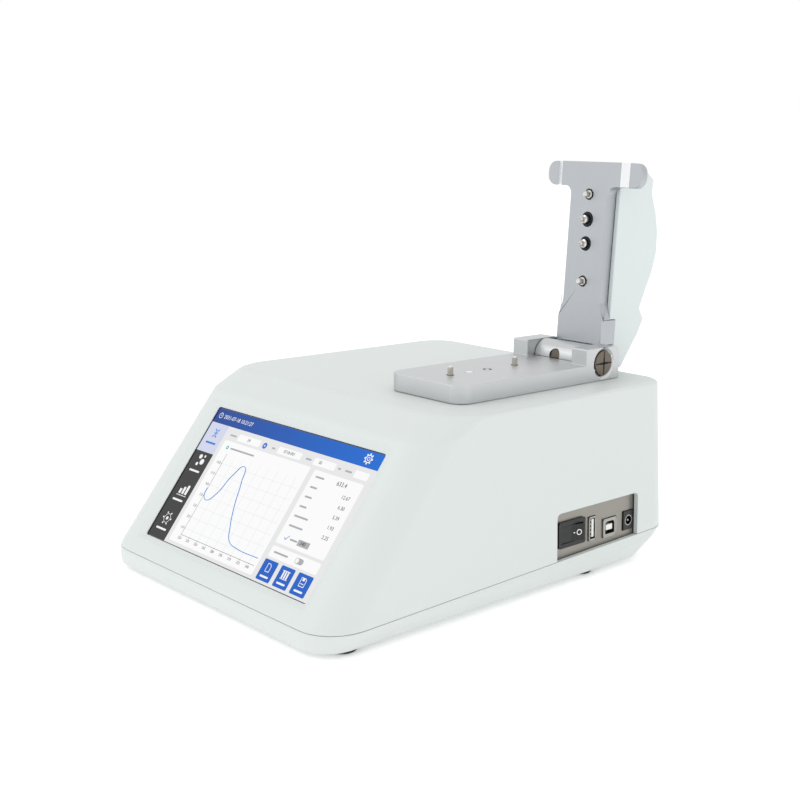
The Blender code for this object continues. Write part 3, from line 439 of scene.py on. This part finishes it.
cards = bmesh.new()
for x0, x1, y0, y1 in (CARD, READINGS, SWITCH):
    slab(cards, x0, x1, y0, y1, LEVELS[1], 1.2)
for x0, x1 in ((32.6, 54.4), (72.2, 94.0), (105.6, 124.6), (141.0, 152.5)):
    slab(cards, x0, x1, 71.6, 76.0, LEVELS[1], 0.6)
show("display_cards", cards, lit("display cards", srgb(255, 255, 255)))

keys = bmesh.new()
for x0, x1 in KEYS:
    slab(keys, x0, x1, KEY_LOW, KEY_HIGH, LEVELS[1], 0.8)
spot(keys, 59.2, 73.7, 1.9, LEVELS[1])
show("display_keys", keys, lit("display keys", srgb(28, 98, 200)))

CHART_LEFT, CHART_LOW = 30.9, 7.9
CHART_RIGHT, CHART_HIGH = 104.0, 62.0
STEP_ACROSS, STEP_UP = 8.53, 7.25
grid = bmesh.new()
for index in range(1, 9):
    x = CHART_LEFT + index * STEP_ACROSS
    stroke(grid, (x, CHART_LOW), (x, CHART_HIGH), 0.16, LEVELS[2])
for index in range(7):
    y = CHART_LOW + 4.3 + index * STEP_UP
    stroke(grid, (CHART_LEFT, y), (CHART_RIGHT, y), 0.16, LEVELS[2])
show("display_grid", grid, lit("display grid", srgb(222, 226, 228)))

marks = bmesh.new()
stroke(marks, (CHART_LEFT, CHART_LOW), (CHART_LEFT, CHART_HIGH), 0.22, LEVELS[3])
stroke(marks, (CHART_LEFT, CHART_LOW), (CHART_RIGHT, CHART_LOW), 0.22, LEVELS[3])
for index in range(7):
    y = CHART_LOW + 4.3 + index * STEP_UP
    stroke(marks, (CHART_LEFT - 0.8, y), (CHART_LEFT, y), 0.18, LEVELS[3])
    digits(marks, f"{2 * index + 1}.0", CHART_LEFT - 1.3, y, 2.1, LEVELS[3], "RIGHT")
for index in range(9):
    x = CHART_LEFT + index * STEP_ACROSS
    stroke(marks, (x, CHART_LOW - 0.8), (x, CHART_LOW), 0.18, LEVELS[3])
    digits(marks, str(220 + 15 * index), x, CHART_LOW - 2.1, 2.0, LEVELS[3])
digits(marks, "633.4", 136.5, 65.7, 3.3, LEVELS[3])
for index, reading in enumerate(("12.67", "6.30", "5.39", "1.93", "2.25")):
    digits(marks, reading, 147.8, 59.4 - index * 5.95, 2.7, LEVELS[3], "RIGHT")
digits(marks, "24", 43.5, 73.8, 2.4, LEVELS[3])
digits(marks, "0718-001", 83.1, 73.8, 2.4, LEVELS[3])
digits(marks, "50", 111.5, 73.8, 2.4, LEVELS[3])
digits(marks, "340", 131.5, 28.4, 2.6, LEVELS[3])
show("display_figures", marks, lit("display figures", srgb(44, 46, 50)))

dim = bmesh.new()
for x, y, length in (
    (27.4, 73.8, 6.4),
    (67.9, 73.8, 3.0),
    (101.0, 73.8, 5.0),
    (128.3, 73.8, 2.4),
    (136.0, 73.8, 5.6),
    (43.0, 65.9, 24.0),
    (117.4, 65.7, 7.6),
    (123.4, 28.4, 6.4),
    (119.6, 19.1, 12.4),
):
    slab(dim, x - length / 2, x + length / 2, y - 0.55, y + 0.55, LEVELS[2], 0.5)
for index, length in enumerate((6.0, 6.0, 6.0, 12.0, 12.0)):
    y = 59.4 - index * 5.95
    slab(dim, 113.6, 113.6 + length, y - 0.55, y + 0.55, LEVELS[2], 0.5)
slab(dim, 127.2, 137.0, 26.6, 30.2, LEVELS[2], 0.3)
slab(dim, 132.2, 139.2, 17.5, 20.9, LEVELS[2], 1.65, 6)
show("display_labels", dim, lit("display labels", srgb(176, 178, 182)))

curve = bpy.data.curves.new("absorbance", "CURVE")
curve.dimensions = "3D"
curve.bevel_depth = 0.24
curve.bevel_resolution = 1
curve.use_fill_caps = True
line = curve.splines.new("BEZIER")
PEAK = (
    (30.6, 39.0),
    (31.6, 34.0),
    (36.0, 32.0),
    (41.5, 37.5),
    (46.5, 51.0),
    (52.5, 58.0),
    (57.0, 49.5),
    (62.5, 34.5),
    (68.5, 22.8),
    (74.5, 14.9),
    (84.0, 12.7),
    (104.0, 12.4),
)
line.bezier_points.add(len(PEAK) - 1)
for point, (x, y) in zip(line.bezier_points, PEAK):
    point.co = (x, y, LEVELS[3] + 0.1)
    point.handle_left_type = point.handle_right_type = "AUTO"
trace_line = bpy.data.objects.new("absorbance", curve)
flat = bpy.data.meshes.new_from_object(trace_line)
trace = bmesh.new()
trace.from_mesh(flat)
bpy.data.objects.remove(trace_line)
bmesh.ops.remove_doubles(trace, verts=trace.verts, dist=0.001)
bmesh.ops.recalc_face_normals(trace, faces=trace.faces)
bmesh.ops.transform(trace, matrix=SCREEN, verts=trace.verts)
TRACE_BLUE = lit("display curve", srgb(64, 140, 220))
link("display_curve", trace, TRACE_BLUE, "base", 40.0)

white = bmesh.new()
digits(white, "2031-07-18 10:21:27", 9.2, 83.6, 3.1, LEVELS[2], "LEFT")
spot(white, 5.6, 83.8, 1.9, LEVELS[2], 1.55)
stroke(white, (5.6, 83.8), (5.6, 85.0), 0.3, LEVELS[2])
stroke(white, (5.6, 83.8), (6.5, 83.8), 0.3, LEVELS[2])
GEAR = (145.5, 83.8)
spot(white, *GEAR, 2.5, LEVELS[2], 1.95)
spot(white, *GEAR, 1.15, LEVELS[2], 0.75)
for index in range(8):
    angle = index * math.pi / 4
    out = (math.cos(angle), math.sin(angle))
    near = (GEAR[0] + out[0] * 2.5, GEAR[1] + out[1] * 2.5)
    far = (GEAR[0] + out[0] * 3.1, GEAR[1] + out[1] * 3.1)
    stroke(white, near, far, 0.9, LEVELS[2])
stroke(white, (58.4, 73.7), (60.0, 73.7), 0.4, LEVELS[2])
stroke(white, (59.2, 72.9), (59.2, 74.5), 0.4, LEVELS[2])
for x, y, radius in ((8.6, 55.6, 1.5), (12.2, 52.6, 1.9), (8.4, 50.6, 1.1), (12.6, 56.4, 0.8)):
    spot(white, x, y, radius, LEVELS[2])
for index in range(3):
    x = 6.6 + index * 3.1
    slab(white, x, x + 2.1, 30.2, 33.4 + index * 1.5, LEVELS[2], 0.3)
stroke(white, (5.8, 29.2), (15.4, 29.2), 0.4, LEVELS[2])
spot(white, 10.0, 13.6, 1.1, LEVELS[2])
spot(white, 10.0, 13.6, 3.0, LEVELS[2], 2.7)
for index in range(6):
    angle = index * math.pi / 3
    x, y = 10.0 + 3.9 * math.cos(angle), 13.6 + 3.9 * math.sin(angle)
    spot(white, x, y, 0.55, LEVELS[2])
for y in (46.0, 26.0, 6.6):
    slab(white, 4.6, 15.0, y - 0.6, y + 0.6, LEVELS[2], 0.5)
for x0, x1 in KEYS:
    middle = (x0 + x1) / 2
    slab(white, middle - 3.6, middle + 3.6, 4.0, 5.1, LEVELS[2], 0.5)
sheet_x, tubes_x, disk_x = ((x0 + x1) / 2 for x0, x1 in KEYS)
for start, end in (
    ((-1.6, 7.6), (1.6, 7.6)),
    ((-1.6, 7.6), (-1.6, 12.2)),
    ((1.6, 7.6), (1.6, 11.0)),
):
    stroke(white, (sheet_x + start[0], start[1]), (sheet_x + end[0], end[1]), 0.4, LEVELS[2])
stroke(white, (sheet_x - 1.6, 12.2), (sheet_x + 0.4, 12.2), 0.4, LEVELS[2])
stroke(white, (sheet_x + 0.4, 12.2), (sheet_x + 1.6, 11.0), 0.4, LEVELS[2])
for shift in (-1.9, 0.0, 1.9):
    slab(white, tubes_x + shift - 0.6, tubes_x + shift + 0.6, 7.6, 11.6, LEVELS[2], 0.4)
stroke(white, (tubes_x - 2.9, 11.9), (tubes_x + 2.9, 11.9), 0.5, LEVELS[2])
stroke(white, (tubes_x - 2.9, 7.3), (tubes_x + 2.9, 7.3), 0.4, LEVELS[2])
for start, end in (
    ((-2.1, 7.4), (2.1, 7.4)),
    ((-2.1, 7.4), (-2.1, 12.2)),
    ((2.1, 7.4), (2.1, 11.4)),
    ((-2.1, 12.2), (1.3, 12.2)),
    ((1.3, 12.2), (2.1, 11.4)),
    ((-1.2, 8.9), (1.2, 8.9)),
):
    stroke(white, (disk_x + start[0], start[1]), (disk_x + end[0], end[1]), 0.4, LEVELS[2])
slab(white, disk_x - 1.1, disk_x + 0.7, 10.6, 12.0, LEVELS[2])
spot(white, 134.0, 19.2, 1.45, LEVELS[3])
show("display_icons", white, lit("display icons", srgb(250, 250, 252)))

blue = bmesh.new()
for x in (8.2, 12.0):
    stroke(blue, (x, 69.2), (20.2 - x, 75.0), 0.45, LEVELS[2])
for y in (70.0, 72.1, 74.2):
    stroke(blue, (8.2, y), (12.0, y), 0.35, LEVELS[2])
slab(blue, 5.0, 15.2, 64.8, 66.0, LEVELS[2], 0.5)
stroke(blue, (115.6, 28.4), (116.7, 27.3), 0.45, LEVELS[2])
stroke(blue, (116.7, 27.3), (118.8, 30.1), 0.45, LEVELS[2])
show("display_tab_icon", blue, lit("display accent", srgb(54, 124, 216)))

teal = bmesh.new()
spot(teal, 27.9, 65.9, 1.15, LEVELS[2], 0.5)
show("display_legend", teal, lit("display legend", srgb(0, 182, 170)))

# ---------------------------------------------------------------- arm base plate
# One aluminium block, milled, bead blasted and clear anodised, with two ears for the hinge.
# Each ear has a conical seat for its pivot cap, with two spanner dimples beside the cap.

ALUMINIUM = metal("blasted aluminium", srgb(206, 208, 209), 0.40, 0.22, 0.8)
CAP_STEEL = metal("cap steel", srgb(116, 108, 98), 0.34, 0.3, 0.3, (1.0, 6.0, 1.0))
hinge = next(joint for joint in frame["joints"] if joint["name"] == "arm_hinge")
HINGE = Vector(hinge["pos_m"])
plate_low, plate_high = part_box("arm_base_plate")
SEAT_WIDE, SEAT_NARROW, SEAT_DEPTH = 18.6, 16.2, 1.1
DIMPLE_OUT = 8.7


def along_x(mesh, verts, place):
    """Turns rounds made about Z so that they stand about X, and puts them in place."""
    bmesh.ops.rotate(mesh, matrix=Matrix.Rotation(math.pi / 2, 3, "Y"), verts=verts)
    bmesh.ops.scale(mesh, vec=(MM, MM, MM), verts=verts)
    bmesh.ops.translate(mesh, vec=place, verts=verts)


def cone(mesh, low, high, depth, steps=48):
    return bmesh.ops.create_cone(
        mesh, cap_ends=True, radius1=low / 2, radius2=high / 2, depth=depth, segments=steps
    )["verts"]


seats = []
for outside, side in ((plate_high.x, 1), (plate_low.x, -1)):
    seat = bmesh.new()
    narrow, wide = (SEAT_NARROW, SEAT_WIDE + 1.0) if side > 0 else (SEAT_WIDE + 1.0, SEAT_NARROW)
    made = cone(seat, narrow, wide, SEAT_DEPTH * 1.2)
    middle = outside - side * SEAT_DEPTH * 0.4 * MM
    along_x(seat, made, (middle, HINGE.y, HINGE.z))
    seats.append(seat)
finish_node("hinge_plate", "arm_base_plate", ALUMINIUM, 0.3, 34.0, seats)
for side in ("left", "right"):
    paint(frame["nodes"][f"pivot_cap_{side}"], CAP_STEEL)
paint(frame["nodes"]["hinge_shaft"], STEEL)

BRIGHT = metal("burnished rim", srgb(236, 238, 240), 0.16, 0.3, 0.15)
dimples = bmesh.new()
for outside, side in ((plate_high.x, 1), (plate_low.x, -1)):
    for angle in (math.radians(25), math.radians(205)):
        ball = bmesh.ops.create_uvsphere(dimples, u_segments=16, v_segments=10, radius=0.75)
        made = ball["verts"]
        bmesh.ops.scale(dimples, vec=(0.5, 1.0, 1.0), verts=made)
        bmesh.ops.scale(dimples, vec=(MM, MM, MM), verts=made)
        across = DIMPLE_OUT * math.cos(angle) * MM
        up = DIMPLE_OUT * math.sin(angle) * MM
        depth = outside - side * 0.75 * MM
        bmesh.ops.translate(dimples, vec=(depth, HINGE.y + across, HINGE.z + up), verts=made)
link("hinge_seat_dimples", dimples, BRIGHT, "base", 40.0)

slots = bmesh.new()
# painted shade: a flat black that stands for the shade in the cap slots, the counterbores, the gaps under the stop
# collars and inside the sockets; the plunger fibre ends take it as their own dark colour
SHADE_AND_FIBRE_BLACK = moulding("shadow black", srgb(14, 14, 15), 0.7, 0.4, 0.1, 0.2)
# painted shade: each cap's cross slot is a thin flat black cross laid on the ear's face
for outside, side in ((plate_high.x, 1), (plate_low.x, -1)):
    for wide, tall in ((14.4, 0.9), (0.9, 14.4)):
        made = bmesh.ops.create_cube(slots, size=1.0)["verts"]
        bmesh.ops.scale(slots, vec=(0.3 * MM, wide * MM, tall * MM), verts=made)
        place = (outside - side * 0.1 * MM, HINGE.y, HINGE.z)
        bmesh.ops.translate(slots, vec=place, verts=made)
link("hinge_cap_slot_shade", slots, SHADE_AND_FIBRE_BLACK, "base")

# ---------------------------------------------------------------- pins, disc and pedestal
# Ground dowels that the arm closes on, a fused quartz reference disc, and the polished rod
# that the sample sits on, in a blackened sleeve. Each stands in a small counterbore, drawn as a
# flat black ring of painted shade.

QUARTZ = Look("polished quartz", Coat_Weight=1.0, Coat_Roughness=0.02)
cloud = QUARTZ.noise(900.0, 2.0)
QUARTZ.feed("Base Color", QUARTZ.mix(cloud, srgb(206, 210, 212), srgb(224, 228, 230)))
QUARTZ.feed("Roughness", 0.12 + cloud * 0.06)
ROD = Look("polished rod", Coat_Weight=1.0, Coat_Roughness=0.02)
cloud = ROD.noise(900.0, 2.0)
ROD.feed("Base Color", ROD.mix(cloud, srgb(228, 230, 230), srgb(246, 247, 247)))
ROD.feed("Roughness", 0.12 + cloud * 0.06)
DARK = metal("blackened steel", srgb(52, 54, 58), 0.38, 0.25, 0.3)
PIN = metal("ground pin", srgb(196, 192, 184), 0.2, 0.2, 0.2, (1.0, 1.0, 8.0))
paint(frame["nodes"]["guide_pin_front"], PIN)
paint(frame["nodes"]["guide_pin_rear"], PIN)
paint(frame["nodes"]["reference_disc"], QUARTZ.material)
paint(frame["nodes"]["lower_pedestal"], ROD.material)
paint(frame["nodes"]["pedestal_sleeve"], DARK)

# painted shade: a flat black ring round each pin and round the pedestal stands for the shade in its counterbore
well_shade = bmesh.new()
top = HINGE.z / MM
for node, outer, inner in (
    ("guide_pin_front", 4.5, 3.3),
    ("guide_pin_rear", 4.5, 3.3),
    ("lower_pedestal", 5.2, 4.6),
):
    low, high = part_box(node)
    middle = (low + high) / 2 / MM
    spot(well_shade, middle.x, middle.y, outer / 2, top + 0.03, inner / 2)
thicken(well_shade)
bmesh.ops.scale(well_shade, vec=(MM, MM, MM), verts=well_shade.verts)
link("plate_well_shade", well_shade, SHADE_AND_FIBRE_BLACK, "base")

pin_tops = bmesh.new()
for node in ("guide_pin_front", "guide_pin_rear"):
    low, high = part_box(node)
    middle = (low + high) / 2
    made = cone(pin_tops, 2.5, 2.1, 0.25, 24)
    bmesh.ops.scale(pin_tops, vec=(MM, MM, MM), verts=made)
    place = (middle.x, middle.y, high.z + 0.1 * MM)
    bmesh.ops.translate(pin_tops, vec=place, verts=made)
link("pin_crowns", pin_tops, BRIGHT, "base", 30.0)

# ---------------------------------------------------------------- hinge knuckle and arm
# The barrel that turns between the ears, and the T-shaped arm that is screwed to its web.
# Both are blasted aluminium; the T's front steps back to its two wings, and on the steps the
# arm's metal is glossier and painted near white, a painted highlight.

LEAN = math.radians(3.21)
FACE = 9.6
ARM = Matrix.Translation(HINGE) @ Matrix.Rotation(-LEAN, 4, "X") @ Matrix.Scale(MM, 4)
# turns a patch drawn on X and Y so that it lies on the arm's face and looks forward
ON_ARM = ARM @ Matrix.Translation((0.0, FACE, 0.0)) @ Matrix.Rotation(math.pi / 2, 4, "X")

FLAT_HALF, WING_INNER = 22.9, 28.9
# painted highlight: a glossier, near-white strip on each step of the T, from FLAT_HALF to WING_INNER out from the
# hinge's middle
ARM_METAL = metal(
    "arm aluminium",
    srgb(186, 190, 194),
    0.42,
    0.3,
    1.0,
    gloss_and_highlight_bands=(HINGE.x, (FLAT_HALF + 0.6) * MM, (WING_INNER - 0.6) * MM),
)
finish_node("arm_knuckle", "hinge_knuckle", ALUMINIUM, 0.25)
finish_node("arm_tee", "arm_plate", ARM_METAL, 0.4, 34.0)
paint(frame["nodes"]["knuckle_set_screw"], CAP_STEEL)
for index in (1, 2):
    paint(frame["nodes"][f"arm_screw_{index}"], STEEL)


def on_arm(name, mesh, material, body, smooth=0.0):
    bmesh.ops.transform(mesh, matrix=ON_ARM, verts=mesh.verts)
    return link(name, mesh, material, body, smooth)


# ---------------------------------------------------------------- stop screws and plungers
# Two button-ended stop screws land on the plate's pins. Between them two sprung optic
# plungers, each with a bright rounded nose and a fibre end in its tip, slide in black bushes.

NOSE = metal("polished nose", srgb(214, 211, 204), 0.14, 0.25, 0.15, (1.0, 8.0, 1.0))
for name in ("front", "rear"):
    paint(frame["nodes"][f"stop_screw_{name}"], NOSE)
    paint(frame["nodes"][f"plunger_{name}"], NOSE)
    paint(frame["nodes"][f"plunger_bush_{name}"], DARK)


def turned_on_arm(rounds, height, steps=32):
    """A lathe-turned solid on the arm's face, from (height above the face, radius) rounds."""
    mesh = bmesh.new()
    start = [mesh.verts.new((radius, 0.0, level)) for level, radius in rounds]
    edges = [mesh.edges.new(pair) for pair in zip(start, start[1:])]
    bmesh.ops.spin(
        mesh,
        geom=start + edges,
        axis=(0, 0, 1),
        cent=(0, 0, 0),
        angle=2 * math.pi,
        steps=steps,
        use_merge=True,
    )
    bmesh.ops.remove_doubles(mesh, verts=mesh.verts, dist=0.0005)
    bmesh.ops.recalc_face_normals(mesh, faces=mesh.faces)
    bmesh.ops.translate(mesh, vec=(0.0, height, 0.0), verts=mesh.verts)
    return mesh


STOPS = {"front": 100.0, "rear": 47.0}
for name, height in STOPS.items():
    head = turned_on_arm(((-0.5, 0.0), (-0.5, 2.55), (0.35, 2.55), (0.6, 2.3), (0.6, 0.0)), height)
    on_arm(f"stop_collar_{name}", head, NOSE, "arm", 35.0)
    # painted shade: a black ring round the foot of each collar stands for the shadow gap under it
    ring = turned_on_arm(((-0.3, 0.0), (-0.3, 3.0), (0.12, 3.0), (0.12, 0.0)), height)
    on_arm(f"stop_seat_shade_{name}", ring, SHADE_AND_FIBRE_BLACK, "arm", 35.0)
    button = turned_on_arm(
        ((4.3, 0.0), (4.3, 1.3), (4.62, 1.0), (4.66, 0.62), (4.3, 0.55), (4.28, 0.0)), height
    )
    on_arm(f"stop_button_{name}", button, BRIGHT, "arm", 35.0)

for name, height, bush, reach in (("front", 84.9, 8.3, 6.7), ("rear", 70.1, 7.9, 5.5)):
    body = f"plunger_{name}_body"
    fibre_end = turned_on_arm(
        ((reach - 0.2, 0.0), (reach - 0.2, 0.35), (reach + 0.06, 0.3), (reach + 0.06, 0.0)),
        height,
        16,
    )
    on_arm(f"plunger_fibre_{name}", fibre_end, SHADE_AND_FIBRE_BLACK, body, 35.0)
    lip = turned_on_arm(
        (
            (-0.2, bush / 2 - 1.0),
            (0.18, bush / 2 - 0.9),
            (0.22, bush / 2 - 0.3),
            (0.08, bush / 2),
            (-0.2, bush / 2),
            (-0.2, bush / 2 - 1.0),
        ),
        height,
    )
    on_arm(f"plunger_lip_{name}", lip, DARK, "arm", 50.0)

# ---------------------------------------------------------------- arm cover
# A thin moulded pod that covers the optics behind the arm, in nearly the case's colour. It is
# open towards the arm, and its back corners are rounded.

COVER = moulding("cover moulding", srgb(214, 222, 222), 0.5)
finish_node("cover_pod", "arm_cover", COVER, 0.5, 42.0)

# ---------------------------------------------------------------- port panel
# A nickel-plated steel panel set back in the side, with the power rocker, a USB-A socket, a
# USB-B socket and the inlet for the supply. It stands in the wall's own slant.

DRAFT = math.radians(2.24)
rocker_joint = next(joint for joint in frame["joints"] if joint["name"] == "rocker_tip")
PANEL_FRONT = -3.5
ROCKER = (15.2, 14.0)
PIVOT = Vector((PANEL_FRONT - 2.0, *ROCKER))
LEANING = Matrix.Rotation(-DRAFT, 4, "Y")
PORTS = (
    Matrix.Translation(Vector(rocker_joint["pos_m"]) - LEANING @ (PIVOT * MM))
    @ LEANING
    @ Matrix.Scale(MM, 4)
)
# a patch drawn on X and Y comes to lie along the wall and up it, looking out
OUTWARD = Matrix(((0, 0, 1, 0), (1, 0, 0, 0), (0, 1, 0, 0), (0, 0, 0, 1)))

PANEL = metal("nickelled panel", srgb(152, 149, 142), 0.34, 0.5, 0.25, (1.0, 0.08, 3.0), 0.2)
paint(frame["nodes"]["port_panel"], PANEL)
SHELL = metal("socket shell", srgb(172, 170, 166), 0.28, 0.4, 0.2)
paint(frame["nodes"]["usb_a_socket"], SHELL)
paint(frame["nodes"]["usb_b_socket"], SHELL)
BLACK = moulding("switch black", srgb(13, 15, 16), 0.34, 0.5, 0.1, 0.25)
paint(frame["nodes"]["dc_inlet"], BLACK)
paint(frame["nodes"]["rocker_frame"], BLACK)
paint(frame["nodes"]["rocker_cap"], BLACK)
WHITE = moulding("socket white", srgb(238, 238, 234), 0.36, 0.5, 0.08)


def block(mesh, x0, x1, y0, y1, z0, z1, edge=0.15):
    """A block with broken edges, in the panel's own millimetres."""
    made = bmesh.ops.create_cube(mesh, size=1.0)["verts"]
    bmesh.ops.scale(mesh, vec=(x1 - x0, y1 - y0, z1 - z0), verts=made)
    middle = ((x0 + x1) / 2, (y0 + y1) / 2, (z0 + z1) / 2)
    bmesh.ops.translate(mesh, vec=middle, verts=made)
    edges = list({e for v in made for e in v.link_edges})
    bmesh.ops.bevel(
        mesh, geom=edges, offset=edge, segments=2, profile=0.5, affect="EDGES", material=-1
    )


def on_ports(name, mesh, material, body, smooth=0.0, where=PORTS):
    bmesh.ops.transform(mesh, matrix=where, verts=mesh.verts)
    return link(name, mesh, material, body, smooth)


FRONT = PANEL_FRONT + 0.8
USB_A = (34.2, 12.8)
USB_B = (50.4, 10.4)
INLET = (68.1, 11.3)
tongue = bmesh.new()
y, z = USB_A
block(tongue, FRONT - 8.6, FRONT - 0.6, y - 0.05, y + 1.95, z - 5.6, z + 5.6, 0.2)
on_ports("usb_a_tongue", tongue, WHITE, "base", 35.0)
# painted shade: the back of each socket is a flat black plate
cavity = bmesh.new()
block(cavity, FRONT - 8.8, FRONT - 8.4, y - 2.35, y + 2.35, z - 6.35, z + 6.35, 0.05)
y, z = USB_B
block(cavity, FRONT - 8.8, FRONT - 8.4, y - 4.2, y + 4.2, z - 3.8, z + 3.8, 0.05)
# painted shade: black liners on the shells' inner walls, which see little light
for (y, z), half_y, half_z in ((USB_A, 2.37, 6.37), (USB_B, 4.27, 3.87)):
    for y_wall in (y - half_y, y + half_y):
        wall = (y_wall - 0.06, y_wall + 0.02, z - 2.4, z + 2.4)
        block(cavity, FRONT - 8.4, FRONT - 0.3, *wall, 0.02)
    for z_wall in (z - half_z, z + half_z):
        wall = (y - 2.3, y + 2.3, z_wall - 0.04, z_wall + 0.04)
        block(cavity, FRONT - 8.4, FRONT - 0.3, *wall, 0.02)
on_ports("usb_cavities", cavity, SHADE_AND_FIBRE_BLACK, "base")
core = bmesh.new()
block(core, FRONT - 8.4, FRONT - 0.5, y - 2.95, y + 2.95, z - 1.75, z + 1.75, 0.3)
on_ports("usb_b_core", core, WHITE, "base", 35.0)
GOLD = metal("contact gold", srgb(224, 190, 110), 0.25, 0.3, 0.1)
contacts = bmesh.new()
for shift in (-1.6, 1.6):
    for z_out in (-1.78, 1.78):
        x0, x1 = FRONT - 7.0, FRONT - 0.9
        y0 = USB_B[0] + shift - 0.5
        z0 = USB_B[1] + z_out - 0.08
        block(contacts, x0, x1, y0, y0 + 1.0, z0, z0 + 0.16, 0.03)
for shift in (-3.6, -1.2, 1.2, 3.6):
    y0, z0 = USB_A[0] - 0.14, USB_A[1] + shift - 0.5
    block(contacts, FRONT - 7.4, FRONT - 1.0, y0, y0 + 0.16, z0, z0 + 1.0, 0.03)
on_ports("usb_contacts", contacts, GOLD, "base", 35.0)

seams = bmesh.new()
for (y, z), wide, tall in ((USB_A, 6.2, 14.7), (USB_B, 12.3, 11.6)):
    for z_edge in (z - tall / 2 + 0.5, z + tall / 2 - 0.5):
        rim = (y - wide / 2, y + wide / 2, z_edge - 0.5, z_edge + 0.5)
        block(seams, FRONT - 0.02, FRONT + 0.12, *rim, 0.05)
    for y_edge in (y - wide / 2 + 0.4, y + wide / 2 - 0.4):
        rim = (y_edge - 0.4, y_edge + 0.4, z - tall / 2, z + tall / 2)
        block(seams, FRONT - 0.02, FRONT + 0.12, *rim, 0.05)
on_ports("socket_rims", seams, SHELL, "base", 35.0)

inlet = bmesh.new()
y, z = INLET
made = cone(inlet, 1.9, 1.9, 7.6, 20)
bmesh.ops.translate(inlet, vec=(0, 0, FRONT - 4.7), verts=made)
made = bmesh.ops.create_uvsphere(inlet, u_segments=20, v_segments=10, radius=0.95)["verts"]
bmesh.ops.translate(inlet, vec=(0, 0, FRONT - 0.9), verts=made)
bmesh.ops.translate(inlet, vec=(y, z, 0.0), verts=inlet.verts)
on_ports("inlet_pin", inlet, SHELL, "base", 35.0, PORTS @ OUTWARD)
barrel = bmesh.new()
spot(barrel, y, z, 3.35, FRONT + 0.04, 2.75, 32)
thicken(barrel)
on_ports("inlet_ring", barrel, SHELL, "base", 0.0, PORTS @ OUTWARD)

# the rocker's on and off marks, printed on the half that stands proud
TILT = math.radians(10.0)
CAP = PORTS @ Matrix.Translation(PIVOT) @ Matrix.Rotation(-TILT, 4, "Z")
RISE = math.atan2(1.2, 8.55)
printed = bmesh.new()
spot(printed, 5.3, 0.0, 1.75, 0.02, 1.25, 28)
slab(printed, 1.4, 2.5, -0.3, 0.3, 0.02, 0.15)
thicken(printed)
on_cap = CAP @ Matrix.Translation((3.46, 0.0, 0.0)) @ Matrix.Rotation(-RISE, 4, "Z") @ OUTWARD
on_ports("rocker_marks", printed, WHITE, "rocker", 0.0, on_cap)

# ---------------------------------------------------------------- inside the case
# Boards, the spectrometer, its lamp, the path motor and the fibres between them. They are out
# of sight but keep their own finishes.

BOARD = Look("solder mask")
speck = BOARD.node("ShaderNodeTexVoronoi", {}, Vector=BOARD.place(), Scale=260.0)
BOARD.feed("Base Color", BOARD.mix(speck.over(0.16), srgb(196, 190, 160), srgb(18, 92, 52)))
BOARD.feed("Roughness", 0.35 + speck * 0.2)
for node in ("main_board", "power_board"):
    paint(frame["nodes"][node], BOARD.material)
for node in ("display_module", "spectrometer_module", "flash_lamp", "path_motor"):
    paint(frame["nodes"][node], DARK)
paint(frame["nodes"]["display_bracket"], PANEL)
JACKET = moulding("fibre jacket", srgb(240, 130, 40), 0.42, 0.6, 0.1)
for node in ("lower_fibre", "upper_fibre"):
    paint(frame["nodes"][node], JACKET)

# ---------------------------------------------------------------- studio
# A plain white floor under an even white sky, with weak soft boxes at the front left,
# overhead and to the right.

floor_mesh = bmesh.new()
bmesh.ops.create_grid(floor_mesh, x_segments=1, y_segments=1, size=6.0)
data = bpy.data.meshes.new("studio_floor")
floor_mesh.to_mesh(data)
floor_mesh.free()
floor = bpy.data.objects.new("studio_floor", data)
bpy.context.scene.collection.objects.link(floor)
PAPER = Look("studio paper", Roughness=0.9, Emission_Strength=0.28)
tone = PAPER.noise(3.0, 2.0)
PAPER.feed("Base Color", PAPER.mix(tone, (0.90, 0.90, 0.90), (0.92, 0.92, 0.92)))
PAPER.feed("Emission Color", (1.0, 1.0, 1.0))
PAPER.feed("Specular IOR Level", 0.0)
paint(floor, PAPER.material)

world = bpy.data.worlds.new("studio")
world.use_nodes = True
world.node_tree.nodes["Background"].inputs["Color"].default_value = (1.0, 1.0, 1.0, 1.0)
world.node_tree.nodes["Background"].inputs["Strength"].default_value = 1.0
bpy.context.scene.world = world

for name, place, size, power in (
    ("soft_box_left", (-1.1, -1.5, 1.5), 1.2, 6.0),
    ("soft_box_top", (0.3, 0.4, 2.0), 1.4, 1.5),
    ("soft_box_right", (1.8, 0.2, 0.9), 0.8, 0.5),
):
    light = bpy.data.lights.new(name, "AREA")
    light.shape = "SQUARE"
    light.size = size
    light.energy = power
    lamp = bpy.data.objects.new(name, light)
    lamp.location = place
    aim = Vector((0.0, 0.0, 0.08)) - Vector(place)
    lamp.rotation_euler = aim.to_track_quat("-Z", "Y").to_euler()
    bpy.context.scene.collection.objects.link(lamp)

LENS = 56.21
SENSOR = 36.0
EYE = Vector((0.56368, -0.50020, 0.25311))
AZIMUTH, ELEVATION, ROLL = (math.radians(angle) for angle in (45.59, 15.08, 1.07))
back = Vector(
    (
        math.sin(AZIMUTH) * math.cos(ELEVATION),
        -math.cos(AZIMUTH) * math.cos(ELEVATION),
        math.sin(ELEVATION),
    )
)
right = Vector((math.cos(AZIMUTH), math.sin(AZIMUTH), 0.0))
up = back.cross(right)
level = Matrix((right, up, back)).transposed()
camera_data = bpy.data.cameras.new("camera")
camera_data.lens = LENS
camera_data.sensor_width = SENSOR
camera_data.shift_x = -0.0877
camera_data.shift_y = 0.0960
camera_data.clip_start = 0.01
camera = bpy.data.objects.new("camera", camera_data)
camera.matrix_world = Matrix.Translation(EYE) @ (level @ Matrix.Rotation(ROLL, 3, "Z")).to_4x4()
bpy.context.scene.collection.objects.link(camera)
bpy.context.scene.camera = camera
bpy.context.scene.view_settings.view_transform = "Standard"
